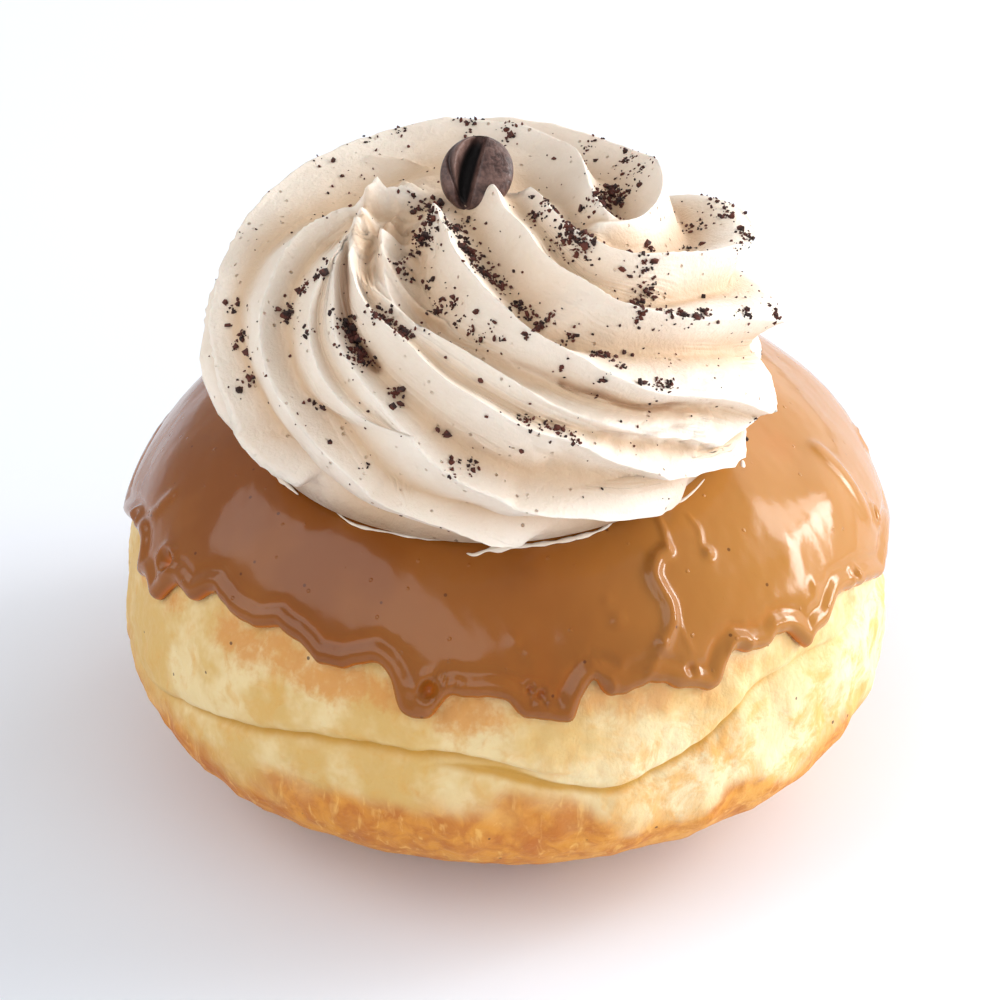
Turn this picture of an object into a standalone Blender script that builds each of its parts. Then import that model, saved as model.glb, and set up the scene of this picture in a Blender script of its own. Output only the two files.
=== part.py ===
"""Cream-topped doughnut: a round fried bun with a creased side, a coffee glaze poured over its top,
a star-piped swirl of coffee cream with coarse coffee grounds, and one roasted bean on its peak.
Millimetres throughout; each finished mesh is scaled to metres. +Z is up, the front is -Y."""

import math

import bmesh
import bpy
import numpy as np
from mathutils import Matrix, Vector
from mathutils.bvhtree import BVHTree

METRE = 0.001
GAP = 0.3

# ---- bun -------------------------------------------------------------------------------------
BUN_RADIUS = 43.7
BUN_EQUATOR = 16.0
BUN_TOP = 46.8
BUN_UPPER_POWER = 2.8
BUN_LOWER_POWER = 2.0
BUN_LOWER_DEPTH = 18.2
BUN_LUMP = 0.010
BUN_LUMP_SPAN = 46.0
BUN_COLUMNS = 60
BUN_ROWS = 26
CREASE_DEPTH = 1.7
CREASE_ABOVE = 0.9
CREASE_BELOW = 2.2
CREASE_LIP = 0.28
LIP_RISE = 2.2
CREASE_LEVEL = 22.0
CREASE_CROWDING = 1.6
CREASE_BAND = 5.0
GUIDE_BAND = 9.0
# crease lines round the side: angle in degrees, height in mm, share of the full depth
MAIN_CREASE = (
    (196, 17.0, 0.0), (205, 17.4, 0.5), (215, 19.1, 0.8), (226, 21.0, 1.0), (240, 23.3, 1.0),
    (254, 24.4, 1.0), (266, 24.3, 1.0), (276, 22.7, 0.6), (284, 21.9, 0.0),
)
SECOND_CREASE = (
    (252, 22.3, 0.0), (262, 23.1, 0.5), (270, 22.6, 0.9), (277, 21.1, 1.0), (285, 19.9, 1.0),
    (292, 21.0, 1.0), (299, 22.9, 1.0), (307, 26.1, 0.9), (315, 27.1, 0.7), (329, 26.4, 0.6),
    (345, 25.3, 0.6), (10, 24.0, 0.7), (40, 22.5, 0.7), (75, 23.5, 0.8), (110, 22.0, 0.7),
    (140, 20.0, 0.4), (156, 18.5, 0.0),
)

# ---- glaze -----------------------------------------------------------------------------------
GLAZE_THICKNESS = 1.2
GLAZE_RIM = 0.35
GLAZE_RIM_BACK = 1.3
GLAZE_RIM_SPREAD = 0.9
GLAZE_ROUNDING = 1.1
GLAZE_COLUMNS = 96
GLAZE_OUTER_SHARES = (0.0, 0.25, 0.46, 0.63, 0.76, 0.86, 0.92, 0.955, 0.98, 0.993, 1.0)
GLAZE_INNER_SHARES = (0.985, 0.93, 0.87, 0.81, 0.74, 0.65, 0.53, 0.36, 0.18, 0.0)
# lower edge of the glaze: angle in degrees, height in mm
GLAZE_EDGE = (
    (0, 27.0), (8, 27.9), (14, 29.5), (22, 30.0), (29, 28.8), (33, 27.2), (38, 28.6), (44, 30.7),
    (53, 31.4), (61, 30.3), (67, 28.4), (72, 28.2), (79, 30.5), (88, 31.9), (97, 31.3), (105, 29.8),
    (111, 29.6), (118, 31.3), (127, 32.1), (135, 31.1), (141, 29.2), (146, 29.0), (153, 30.7),
    (162, 31.0), (171, 29.5), (179, 26.8), (186, 27.9), (193, 30.3), (200, 30.5), (207, 30.8),
    (213, 32.2), (220, 33.4), (226, 33.3), (230, 32.7), (237, 32.4), (245, 32.8), (251, 33.2),
    (254, 31.2), (258, 29.5), (262, 31.6), (266, 32.5), (271, 32.3), (276, 30.2), (280, 29.3),
    (283, 31.8), (287, 31.4), (291, 31.2), (296, 30.2), (300, 29.2), (304, 30.2), (307, 32.0),
    (312, 31.4), (317, 30.6), (323, 30.5), (329, 32.1), (337, 30.3), (349, 29.4),
)

# ---- cream swirl -----------------------------------------------------------------------------
SWIRL_X = -1.4
SWIRL_Y = -4.2
SWIRL_RADIUS = 32.6
SWIRL_WIDEST = 52.0
SWIRL_RISE = 21.2
SWIRL_POWER = 2.64
SWIRL_FOOT = 27.0
SWIRL_FOOT_FRONT = 0.3
SWIRL_FOOT_POWER = 1.7
SWIRL_WIDEST_SHARE = 0.74
SWIRL_SEAT_GAP = 0.5
SWIRL_COLUMNS = 260
SWIRL_ROWS = 130
SWIRL_UNDER_ROWS = 12
SWIRL_TRIANGLES = 4600
FLUTE_DEPTH = 5.4
FLUTE_SPACING = 7.0
FLUTE_LEAN = 0.9
LEAN_SIDE = math.radians(350.0)
FLUTE_STEPS = 8
# crests of the piped ridges over the dome: (angle in degrees, share of the way from peak to
# foot), with the drop of the crest below the dome in mm
CRESTS = (
    (0.0, ((176, .10), (189, .17), (190, .21), (195, .29), (204, .38), (210, .46), (220, .57),
           (229, .64), (237, .69), (245, .73), (253, .78), (261, .81), (268, .86), (276, .94))),
    (1.1, ((210, .23), (216, .29), (223, .40), (232, .51), (240, .57), (244, .60))),
    (0.0, ((207, .19), (210, .23), (214, .26), (220, .30), (226, .35), (233, .43), (243, .51),
           (251, .58), (261, .68), (272, .73), (281, .77), (290, .81), (302, .86), (312, .93))),
    (0.3, ((202, .17), (205, .19), (211, .22), (218, .25), (225, .28), (235, .33), (249, .39),
           (260, .47), (268, .52), (276, .58), (286, .63), (294, .69), (305, .74), (315, .79),
           (329, .84), (342, .93))),
    (1.7, ((214, .16), (228, .22), (242, .30), (255, .35), (264, .39), (273, .45), (282, .53),
           (292, .60), (302, .66), (318, .73), (334, .79), (350, .87), (359, .94))),
    (0.0, ((221, .08), (239, .10), (250, .14), (258, .18), (264, .22), (272, .28), (278, .34),
           (289, .43), (294, .48), (300, .53), (306, .57), (318, .63), (326, .68), (334, .73),
           (350, .79), (368, .86), (384, .94))),
    (0.0, ((270, .02), (285, .05), (290, .09), (291, .14), (294, .20), (298, .24), (302, .29),
           (306, .34), (315, .40), (321, .44), (334, .51), (347, .60), (360, .68), (380, .75),
           (400, .81), (420, .88), (435, .95))),
    (0.0, ((350, .03), (322, .07), (315, .12), (316, .16), (318, .20), (322, .24), (330, .28),
           (338, .32), (348, .38), (367, .48), (385, .51), (405, .54), (425, .58), (445, .63),
           (465, .70), (485, .79), (500, .92))),
    (0.0, ((328, .15), (336, .18), (345, .20), (366, .23), (383, .26), (398, .30), (412, .33),
           (430, .37), (455, .43), (480, .51), (505, .60), (525, .70), (540, .79), (552, .92))),
    (0.0, ((335, .16), (343, .13), (358, .11), (378, .11), (395, .13), (407, .15), (420, .17),
           (440, .20), (465, .25), (490, .31), (515, .38), (532, .44), (546, .52), (556, .61),
           (565, .68), (574, .76), (584, .88))),
)
# shallow places of the flutes: (angle in degrees, share, spread in mm, part of the depth lost)
SHALLOWS = ((186, 0.50, 15.0, 0.80), (110, 0.10, 9.0, 0.55), (200, 0.02, 7.0, 0.60))
# places lower (or higher) than the dome: (angle in degrees, share, spread in mm, depth in mm)
DENTS = (
    (48, 0.51, 7.5, 3.6), (70, 0.37, 7.0, 0.4), (97, 0.33, 10.0, -0.5), (2, 0.785, 4.0, 4.0),
    (349, 0.80, 4.0, 1.2), (10, 0.172, 2.6, 1.6), (26, 0.170, 2.6, 1.6),
)
# torn, rough places: (angle in degrees, share, spread in mm, height in mm)
TORN = ((214, 0.15, 6.0, 0.9), (318, 0.72, 8.0, 0.6), (285, 0.60, 7.0, 0.45))
TORN_SPAN = 5.0

# ---- coffee grounds fused to the cream -------------------------------------------------------
GROUND_SEED = 11
GROUND_SINK = 0.25
GROUND_BEAN_CLEAR = 5.6
GROUND_BACK_COUNT = 10
# angle in degrees, share, diameter in mm
GROUNDS = (
    (238, .40, 1.9), (235, .36, 1.5), (249, .44, 1.5), (246, .32, 1.4), (254, .39, 1.2),
    (226, .08, 1.4), (229, .12, 1.6), (234, .14, 1.5), (252, .12, 1.4), (256, .16, 1.2),
    (268, .22, 1.4), (281, .31, 1.5), (285, .34, 1.6), (302, .47, 1.6), (316, .55, 1.9),
    (320, .56, 1.7), (323, .15, 1.6), (320, .13, 1.2), (338, .25, 1.4), (341, .27, 1.5),
    (336, .41, 1.3), (343, .45, 1.2), (207, .30, 1.5), (211, .31, 1.3), (218, .38, 1.6),
    (221, .43, 1.4), (203, .52, 1.4), (209, .58, 1.2), (267, .60, 1.3), (262, .25, 1.2),
    (271, .40, 1.2), (257, .29, 1.4), (280, .66, 1.1),
)

# ---- coffee bean -----------------------------------------------------------------------------
BEAN_CENTRE = (-3.2, -4.3, 74.6)
BEAN_LENGTH = 8.7
BEAN_WIDTH = 7.8
BEAN_FACE = 1.7
BEAN_BACK = 3.0
BEAN_FACE_POWER = 0.55
BEAN_COLUMNS = 22
BEAN_ROWS = 13
BEAN_CROWDING = 0.62
BEAN_NORMAL = (0.10, -0.72, 0.70)
BEAN_AXIS = (0.34, 0.45, 0.60)
FURROW_DEPTH = 2.0
FURROW_WIDTH = 0.85
FURROW_SWAY = 0.8
SOCKET_CLEAR = 0.35

WAVE_COUNT = 9


def smooth(value, start, end):
    """0 before start, 1 after end, with a soft change between."""
    part = np.clip((value - start) / (end - start), 0.0, 1.0)
    return part * part * (3.0 - 2.0 * part)


def waves(points, span, seed):
    """Seeded smooth unevenness of the space, about -1 to 1, with wavelengths near span mm."""
    rng = np.random.default_rng(seed)
    total = np.zeros(points.shape[:-1])
    for _ in range(WAVE_COUNT):
        heading = rng.normal(size=3)
        heading *= rng.uniform(0.7, 1.4) * 2.0 * math.pi / (span * np.linalg.norm(heading))
        total += np.sin(points @ heading + rng.uniform(0.0, 2.0 * math.pi))
    return total / math.sqrt(WAVE_COUNT)


def ring(table, angle, column):
    """A closed table of (degrees, values...) read at angles in radians, without corners."""
    rows = np.array(sorted((row[0] % 360.0, row[column]) for row in table))
    turn = np.concatenate([rows[:, 0] - 360.0, rows[:, 0], rows[:, 0] + 360.0])
    level = np.tile(rows[:, 1], 3)
    return soft_table(turn, level, np.degrees(angle) % 360.0)


def soft_table(places, levels, wanted):
    """Cubic (Catmull-Rom) reading of a table."""
    slope = np.gradient(levels, places)
    index = np.clip(np.searchsorted(places, wanted, side="right") - 1, 0, len(places) - 2)
    width = places[index + 1] - places[index]
    part = np.clip((wanted - places[index]) / width, 0.0, 1.0)
    rise = part * part * (3.0 - 2.0 * part)
    lead = part * (1.0 - part) ** 2
    trail = part * part * (1.0 - part)
    curved = slope[index] * lead * width - slope[index + 1] * trail * width
    return levels[index] * (1.0 - rise) + levels[index + 1] * rise + curved


def make_material(name, colour, roughness, metallic=0.0):
    material = bpy.data.materials.new(name)
    material.use_nodes = True
    shader = material.node_tree.nodes["Principled BSDF"]
    shader.inputs["Base Color"].default_value = (*colour, 1.0)
    shader.inputs["Roughness"].default_value = roughness
    shader.inputs["Metallic"].default_value = metallic
    material.diffuse_color = (*colour, 1.0)
    return material


def link_mesh(name, mesh, material):
    body = bpy.data.objects.new(name, mesh)
    bpy.context.scene.collection.objects.link(body)
    if material:
        mesh.materials.append(material)
    return body


def closed_skin(name, columns, rows, place, material):
    """A ball whose rings and columns are moved on to the shape: place(angle, row) in mm."""
    shape = bmesh.new()
    bmesh.ops.create_uvsphere(shape, u_segments=columns, v_segments=rows, radius=1.0)
    unit = np.array([vertex.co[:] for vertex in shape.verts])
    row = np.arccos(np.clip(unit[:, 2], -1.0, 1.0)) * rows / math.pi
    angle = np.arctan2(unit[:, 1], unit[:, 0]) % (2.0 * math.pi)
    placed = place(angle, np.rint(row).astype(int)) * METRE
    for vertex, point in zip(shape.verts, placed):
        vertex.co = Vector(point)
    mesh = bpy.data.meshes.new(name)
    shape.to_mesh(mesh)
    shape.free()
    return link_mesh(name, mesh, material)


def apply_modifiers(body):
    """Replaces the mesh of the body by what its modifiers make of it."""
    graph = bpy.context.evaluated_depsgraph_get()
    made = bpy.data.meshes.new_from_object(body.evaluated_get(graph))
    made.name = body.name
    body.modifiers.clear()
    body.data = made


def remove(bodies):
    for body in list(bodies):
        bpy.data.objects.remove(body, do_unlink=True)


# ---- forms of the bun and the glaze ----------------------------------------------------------
def bun_profile(grow):
    """Half section of the bun from peak to middle of the base, as (radius, height) in mm."""
    turn = np.linspace(0.0, math.pi / 2.0, 400)
    side = BUN_RADIUS + grow
    rise = BUN_TOP + grow - BUN_EQUATOR
    upper = np.stack([side * np.sin(turn) ** (2.0 / BUN_UPPER_POWER),
                      BUN_EQUATOR + rise * np.cos(turn) ** (2.0 / BUN_UPPER_POWER)], axis=1)
    lower = np.stack([side * np.cos(turn) ** (2.0 / BUN_LOWER_POWER),
                      BUN_EQUATOR - BUN_LOWER_DEPTH * np.sin(turn) ** (2.0 / BUN_LOWER_POWER)],
                     axis=1)
    lower = lower[lower[:, 1] > 0.0]
    base = np.stack([np.linspace(lower[-1, 0], 0.0, 60), np.zeros(60)], axis=1)
    return np.concatenate([upper, lower[1:], base])


def travelled(profile, weight=None):
    """Length along a profile up to each of its points, times a weight of its height."""
    steps = np.linalg.norm(np.diff(profile, axis=0), axis=1)
    if weight is not None:
        steps *= weight((profile[1:, 1] + profile[:-1, 1]) / 2.0)
    return np.concatenate([[0.0], np.cumsum(steps)])


def lump(points):
    """Slight swelling of the bun, the same for everything that lies on it."""
    return 1.0 + BUN_LUMP * waves(points, BUN_LUMP_SPAN, 3) * smooth(points[..., 2], 1.0, 10.0)


def swollen(radius, angle, height):
    points = np.stack([radius * np.cos(angle), radius * np.sin(angle), height], axis=-1)
    points[..., :2] *= lump(points)[..., None]
    return points


def crease_course(angle, table):
    """Height of a crease at an angle, and its share of the full depth."""
    rows = np.array(table, float)
    rows[:, 0] = np.degrees(np.unwrap(np.radians(rows[:, 0])))
    turn = (np.degrees(angle) - rows[0, 0]) % 360.0 + rows[0, 0]
    level = soft_table(rows[:, 0], rows[:, 1], turn)
    strength = np.where(turn > rows[-1, 0], 0.0, soft_table(rows[:, 0], rows[:, 2], turn))
    return level, strength


def crease_inset(away, strength):
    """How far the skin is drawn in at a height above a crease; its upper lip swells a little."""
    spread = np.where(away > 0.0, CREASE_ABOVE, CREASE_BELOW)
    cut = strength * CREASE_DEPTH * np.exp(-((away / spread) ** 2))
    lip = strength * CREASE_LIP * np.exp(-(((away - LIP_RISE) / LIP_RISE) ** 2))
    return cut - lip


def build_bun(material):
    profile = bun_profile(0.0)
    length = travelled(profile)
    crowded = travelled(profile, lambda height: 1.0 + CREASE_CROWDING * np.exp(
        -(((height - CREASE_LEVEL) / CREASE_BAND) ** 2)))
    wanted = np.linspace(0.0, crowded[-1], BUN_ROWS + 1)
    guide_row = np.argmin(np.abs(np.interp(wanted, crowded, profile[:, 1]) - CREASE_LEVEL))
    row_way = np.interp(wanted, crowded, length)
    base_way = length[np.argmax(profile[:, 1] <= 0.0)]
    corner_row = np.argmin(np.abs(row_way - base_way))
    row_way[corner_row] = base_way
    guide_way = row_way[guide_row]
    guide_level = np.interp(guide_way, length, profile[:, 1])

    def place(angle, row):
        main_level, main_strength = crease_course(angle, MAIN_CREASE)
        second_level, second_strength = crease_course(angle, SECOND_CREASE)
        share = (main_strength + 0.05) / (main_strength + second_strength + 0.1)
        shift = share * main_level + (1.0 - share) * second_level - guide_level
        near = np.exp(-(((row_way[row] - guide_way) / GUIDE_BAND) ** 2))
        way = row_way[row] - shift * near * (row < corner_row)
        radius = np.interp(way, length, profile[:, 0])
        height = np.interp(way, length, profile[:, 1])
        inset = crease_inset(height - main_level, main_strength)
        inset += crease_inset(height - second_level, second_strength)
        inset *= smooth(height, 3.0, 10.0) * smooth(height, 38.0, 32.0)
        height = np.where(row >= corner_row, 0.0, height)
        return swollen(radius - inset, angle, height)

    return closed_skin("dough", BUN_COLUMNS, BUN_ROWS, place, material)


def glaze_length(angle):
    """Way from the peak down the bun to the edge of the glaze."""
    profile = bun_profile(0.0)
    upper = profile[profile[:, 1] > BUN_EQUATOR]
    length = travelled(upper)
    return np.interp(-ring(GLAZE_EDGE, angle, 1), -upper[:, 1], length)


def glaze_height(away):
    """Thickness of the glaze at a distance in mm from its edge."""
    rim = GLAZE_RIM * np.exp(-(((away - GLAZE_RIM_BACK) / GLAZE_RIM_SPREAD) ** 2))
    inner = 1.0 - np.clip(away / GLAZE_ROUNDING, 0.0, 1.0)
    return (GLAZE_THICKNESS + rim) * np.sqrt(np.clip(1.0 - inner * inner, 0.0, 1.0))


def over_bun(angle, way, grow):
    """Point at a way along the bun from its peak and a height above it."""
    profile = bun_profile(0.0)
    length = travelled(profile)
    radius = np.interp(way, length, profile[:, 0])
    height = np.interp(way, length, profile[:, 1])
    reach = 0.5
    out = np.interp(way + reach, length, profile[:, 0]) - np.interp(way - reach, length, profile[:, 0])
    down = np.interp(way + reach, length, profile[:, 1]) - np.interp(way - reach, length, profile[:, 1])
    size = np.hypot(out, down)
    points = np.stack([radius - grow * down / size, height + grow * out / size], axis=-1)
    points[..., 0] = np.where(way < 1e-6, 0.0, points[..., 0])
    return swollen(points[..., 0], angle, points[..., 1])


def build_glaze(material):
    shares = np.array(GLAZE_OUTER_SHARES + GLAZE_INNER_SHARES)
    outside = np.arange(len(shares)) < len(GLAZE_OUTER_SHARES)

    def place(angle, row):
        reach = glaze_length(angle)
        way = reach * shares[row]
        grow = GAP + np.where(outside[row], glaze_height(reach - way), 0.0)
        return over_bun(angle, way, grow)

    return closed_skin("glaze", GLAZE_COLUMNS, len(shares) - 1, place, material)


def glaze_top(x, y):
    """Height of the upper side of the glaze over a place in plan."""
    profile = bun_profile(GAP + GLAZE_THICKNESS)
    upper = profile[profile[:, 1] > BUN_EQUATOR]
    return np.interp(np.hypot(x, y), upper[:, 0], upper[:, 1])


# ---- form of the cream swirl -----------------------------------------------------------------
def dome(angle, share):
    """Envelope of the swirl: peak at share 0, widest at SWIRL_WIDEST_SHARE, foot at share 1."""
    angle, share = np.broadcast_arrays(np.asarray(angle, float), np.asarray(share, float))
    upper = np.clip(share / SWIRL_WIDEST_SHARE, 0.0, 1.0) * math.pi / 2.0
    lower = np.clip((share - SWIRL_WIDEST_SHARE) / (1.0 - SWIRL_WIDEST_SHARE), 0.0, 1.0)
    lower = lower * math.pi / 2.0
    foot = SWIRL_FOOT + SWIRL_FOOT_FRONT * np.sin(angle)
    foot_height = GAP + glaze_top(SWIRL_X + foot * np.cos(angle), SWIRL_Y + foot * np.sin(angle))
    radius = np.where(
        share <= SWIRL_WIDEST_SHARE,
        SWIRL_RADIUS * np.sin(upper) ** (2.0 / SWIRL_POWER),
        foot + (SWIRL_RADIUS - foot) * np.abs(np.cos(lower)) ** (2.0 / SWIRL_FOOT_POWER))
    height = np.where(
        share <= SWIRL_WIDEST_SHARE,
        SWIRL_WIDEST + SWIRL_RISE * np.abs(np.cos(upper)) ** (2.0 / SWIRL_POWER),
        SWIRL_WIDEST - (SWIRL_WIDEST - foot_height) * np.sin(lower) ** (2.0 / SWIRL_FOOT_POWER))
    return np.stack([SWIRL_X + radius * np.cos(angle), SWIRL_Y + radius * np.sin(angle), height],
                    axis=-1)


def dome_outward(angle, share):
    """Unit normal of the envelope."""
    step = 0.004
    along = dome(angle, np.minimum(share + step, 1.0)) - dome(angle, np.maximum(share - step, 0.002))
    around = np.stack([-np.sin(angle), np.cos(angle), np.zeros_like(angle)], axis=-1)
    normal = np.cross(along, around)
    return normal / (np.linalg.norm(normal, axis=-1, keepdims=True) + 1e-9)


def crest_line(table):
    """A crest as a chain of points on the dome."""
    rows = np.array(table, float)
    places = np.arange(len(rows), dtype=float)
    fine = np.linspace(0.0, places[-1], (len(rows) - 1) * FLUTE_STEPS + 1)
    angle = soft_table(places, rows[:, 0], fine)
    share = soft_table(places, rows[:, 1], fine)
    return dome(np.radians(angle), share)


def nearest(points, chain):
    """Distance of each point from a chain of straight pieces."""
    best = np.full(len(points), np.inf)
    for start, end in zip(chain[:-1], chain[1:]):
        side = end - start
        part = np.clip((points - start) @ side / max(side @ side, 1e-9), 0.0, 1.0)
        best = np.minimum(best, np.linalg.norm(points - start - part[:, None] * side, axis=1))
    return best


def flute_depth(points, angle, share):
    """How far the cream lies below the dome: nothing on a crest, deepest between two. On the
    right side the troughs crowd up under the next ridge."""
    drops = np.array([drop for drop, _ in CRESTS])
    away = np.stack([nearest(points, crest_line(table)) for _, table in CRESTS], axis=1)
    order = np.argsort(away, axis=1)
    picked = np.arange(len(points))
    first = away[picked, order[:, 0]]
    second = away[picked, order[:, 1]]
    spacing = first + second + 1e-6
    base = (drops[order[:, 0]] * second + drops[order[:, 1]] * first) / spacing
    depth = FLUTE_DEPTH * (1.0 - np.exp(-((spacing / FLUTE_SPACING) ** 2)))
    for turn, level, spread, lost in SHALLOWS:
        centre = dome(math.radians(turn), level)
        depth *= 1.0 - lost * np.exp(-(np.linalg.norm(points - centre, axis=1) / spread) ** 2)
    depth *= 1.0 - 0.6 * smooth(share, 0.86, 1.0)
    below = (order[:, 0] + 1) % len(CRESTS) == order[:, 1]
    above = (order[:, 1] + 1) % len(CRESTS) == order[:, 0]
    lean = FLUTE_LEAN * smooth(np.cos(angle - LEAN_SIDE), 0.2, 0.7) * smooth(share, 0.3, 0.45)
    way = np.where(above, second, first) / spacing
    way = np.where(below | above, way ** (1.0 + lean), way)
    return base + depth * np.sin(math.pi * way)


def dented(points):
    """How far the dents of the dome reach below it."""
    total = np.zeros(len(points))
    for turn, level, spread, depth in DENTS:
        centre = dome(math.radians(turn), level)
        total += depth * np.exp(-(np.linalg.norm(points - centre, axis=1) / spread) ** 2)
    return total


def torn_relief(points):
    """Roughness of the torn places."""
    rough = waves(points, TORN_SPAN, 7)
    total = np.zeros(len(points))
    for turn, level, spread, height in TORN:
        centre = dome(math.radians(turn), level)
        total += height * rough * np.exp(-(np.linalg.norm(points - centre, axis=1) / spread) ** 2)
    return total


def swirl_points(angle, share):
    """The surface of the cream above its foot."""
    points = dome(angle, share)
    sink = flute_depth(points, angle, share) + dented(points) + torn_relief(points)
    points = points - sink[:, None] * dome_outward(angle, share)
    seat = glaze_top(points[:, 0], points[:, 1]) + SWIRL_SEAT_GAP
    points[:, 2] = np.maximum(points[:, 2], seat)
    return points


def build_swirl(material):
    above = SWIRL_ROWS - SWIRL_UNDER_ROWS

    def place(angle, row):
        share = np.minimum(row / above, 1.0)
        share = np.where(row == 0, 0.0, share)
        points = swirl_points(np.where(row == 0, 0.0, angle), share)
        inward = np.clip((row - above) / SWIRL_UNDER_ROWS, 0.0, 1.0)
        under = points.copy()
        under[:, 0] = SWIRL_X + (points[:, 0] - SWIRL_X) * (1.0 - inward)
        under[:, 1] = SWIRL_Y + (points[:, 1] - SWIRL_Y) * (1.0 - inward)
        under[:, 2] = glaze_top(under[:, 0], under[:, 1]) + SWIRL_SEAT_GAP
        return np.where((row >= above)[:, None], under, points)

    body = closed_skin("cream_swirl", SWIRL_COLUMNS, SWIRL_ROWS, place, material)
    thinner = body.modifiers.new("thinner", "DECIMATE")
    faces = 2 * SWIRL_COLUMNS * (SWIRL_ROWS - 1)
    thinner.ratio = SWIRL_TRIANGLES / faces
    apply_modifiers(body)
    return body


# ---- bean and grounds ------------------------------------------------------------------------
def bean_frame():
    """Turns the bean's own axes (length, width, face) into place."""
    face = Vector(BEAN_NORMAL).normalized()
    length = Vector(BEAN_AXIS)
    length = (length - face * length.dot(face)).normalized()
    width = face.cross(length)
    turn = Matrix((length, width, face)).transposed().to_4x4()
    return Matrix.Translation(Vector(BEAN_CENTRE)) @ turn


def bean_form(angle, row, rows, grow, furrow):
    """Bean shape with its poles at the ends of its length; angle 0 is the middle of its face."""
    crowd = angle - BEAN_CROWDING * np.sin(angle)
    polar = row * math.pi / rows
    length = np.cos(polar)
    across = -np.sin(polar) * np.sin(crowd)
    face = np.sin(polar) * np.cos(crowd)
    x = length * (BEAN_LENGTH / 2.0 + grow)
    y = across * (BEAN_WIDTH / 2.0 + grow)
    front = (BEAN_FACE + grow) * np.sign(face) * np.abs(face) ** BEAN_FACE_POWER
    depth = np.sqrt(np.abs(np.sin(polar)))
    z = np.where(face > 0.0, front * depth, (BEAN_BACK + grow) * face)
    middle = FURROW_SWAY * np.sin(math.pi * length)
    cut = furrow * np.exp(-(((y - middle) / FURROW_WIDTH) ** 2)) * (1.0 - length**4)
    z = z - np.where(face > 0.0, cut, 0.0)
    points = np.stack([x, y, z], axis=-1)
    turn = np.array(bean_frame())
    return points @ turn[:3, :3].T + turn[:3, 3]


def build_bean(material):
    def place(angle, row):
        return bean_form(angle, row, BEAN_ROWS, 0.0, FURROW_DEPTH)

    return closed_skin("coffee_bean", BEAN_COLUMNS, BEAN_ROWS, place, material)


def build_socket():
    """The bean's own form, a little larger and without its furrow, to press into the cream."""
    def place(angle, row):
        return bean_form(angle, row, BEAN_ROWS, SOCKET_CLEAR, 0.0)

    body = closed_skin("socket_cutter", BEAN_COLUMNS, BEAN_ROWS, place, None)
    body.hide_render = True
    body.display_type = "WIRE"
    return body


def scatter_places():
    """Where the largest grounds lie: those of the front from the table, others drawn for the back."""
    rng = np.random.default_rng(GROUND_SEED)
    places = list(GROUNDS)
    for turn in np.linspace(30.0, 170.0, GROUND_BACK_COUNT):
        places.append((turn + rng.uniform(-6.0, 6.0), rng.uniform(0.12, 0.6), rng.uniform(0.9, 1.5)))
    return sorted(places, key=lambda spot: -spot[2]), rng


def build_grounds(cream):
    """Rough little grains, each sunk a quarter into the cream, in one collection."""
    heap = bpy.data.collections.new("grounds")
    bpy.context.scene.collection.children.link(heap)
    skin = bmesh.new()
    skin.from_mesh(cream.data)
    tree = BVHTree.FromBMesh(skin)
    places, rng = scatter_places()
    centre = Vector(BEAN_CENTRE) * METRE
    for turn, share, size in places:
        spot = swirl_points(np.array([math.radians(turn)]), np.array([share]))[0] * METRE
        found, normal, _, _ = tree.find_nearest(Vector(spot))
        if (found - centre).length < GROUND_BEAN_CLEAR * METRE:
            continue
        grain = bmesh.new()
        bmesh.ops.create_icosphere(grain, subdivisions=1, radius=0.5 * size * METRE)
        for vertex in grain.verts:
            vertex.co *= rng.uniform(0.8, 1.15)
        squash = rng.uniform(0.6, 0.95, 3)
        bmesh.ops.scale(grain, vec=Vector(squash), verts=grain.verts)
        lift = found + normal * (0.5 - GROUND_SINK) * size * squash[2] * METRE
        bmesh.ops.rotate(grain, verts=grain.verts,
                         matrix=normal.to_track_quat("Z", "Y").to_matrix())
        bmesh.ops.translate(grain, vec=lift, verts=grain.verts)
        mesh = bpy.data.meshes.new("grain")
        grain.to_mesh(mesh)
        grain.free()
        body = bpy.data.objects.new("grain", mesh)
        body.hide_render = True
        body.display_type = "WIRE"
        heap.objects.link(body)
    skin.free()
    return heap


def join_cream(cream, socket, heap):
    """Presses the bean's socket into the cream and joins the grounds to it."""
    cut = cream.modifiers.new("socket", "BOOLEAN")
    cut.operation = "DIFFERENCE"
    cut.solver = "MANIFOLD"
    cut.object = socket
    join = cream.modifiers.new("grounds", "BOOLEAN")
    join.operation = "UNION"
    join.solver = "MANIFOLD"
    join.operand_type = "COLLECTION"
    join.collection = heap
    apply_modifiers(cream)
    remove(heap.objects)
    bpy.data.collections.remove(heap)
    remove([socket])


def main():
    remove(bpy.data.objects)
    crust = make_material("crust", (0.80, 0.53, 0.22), 0.62)
    icing = make_material("coffee_glaze", (0.44, 0.23, 0.11), 0.22)
    cream = make_material("coffee_cream", (0.79, 0.67, 0.52), 0.55)
    roast = make_material("roasted_bean", (0.055, 0.028, 0.02), 0.45)
    build_bun(crust)
    build_glaze(icing)
    swirl = build_swirl(cream)
    build_bean(roast)
    join_cream(swirl, build_socket(), build_grounds(swirl))
    for body in bpy.data.objects:
        body.data.shade_flat()


main()
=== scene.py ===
"""Looks of the cream-topped doughnut: the fried bun, the coffee glaze, the piped coffee cream with
its ground coffee, and the roasted bean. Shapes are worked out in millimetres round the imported
frame. Angles run from the right (0 degrees) by the back (90) and the left to the front (270)."""

import math

import bmesh
import bpy
import numpy as np
from mathutils import Matrix, Quaternion, Vector


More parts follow.
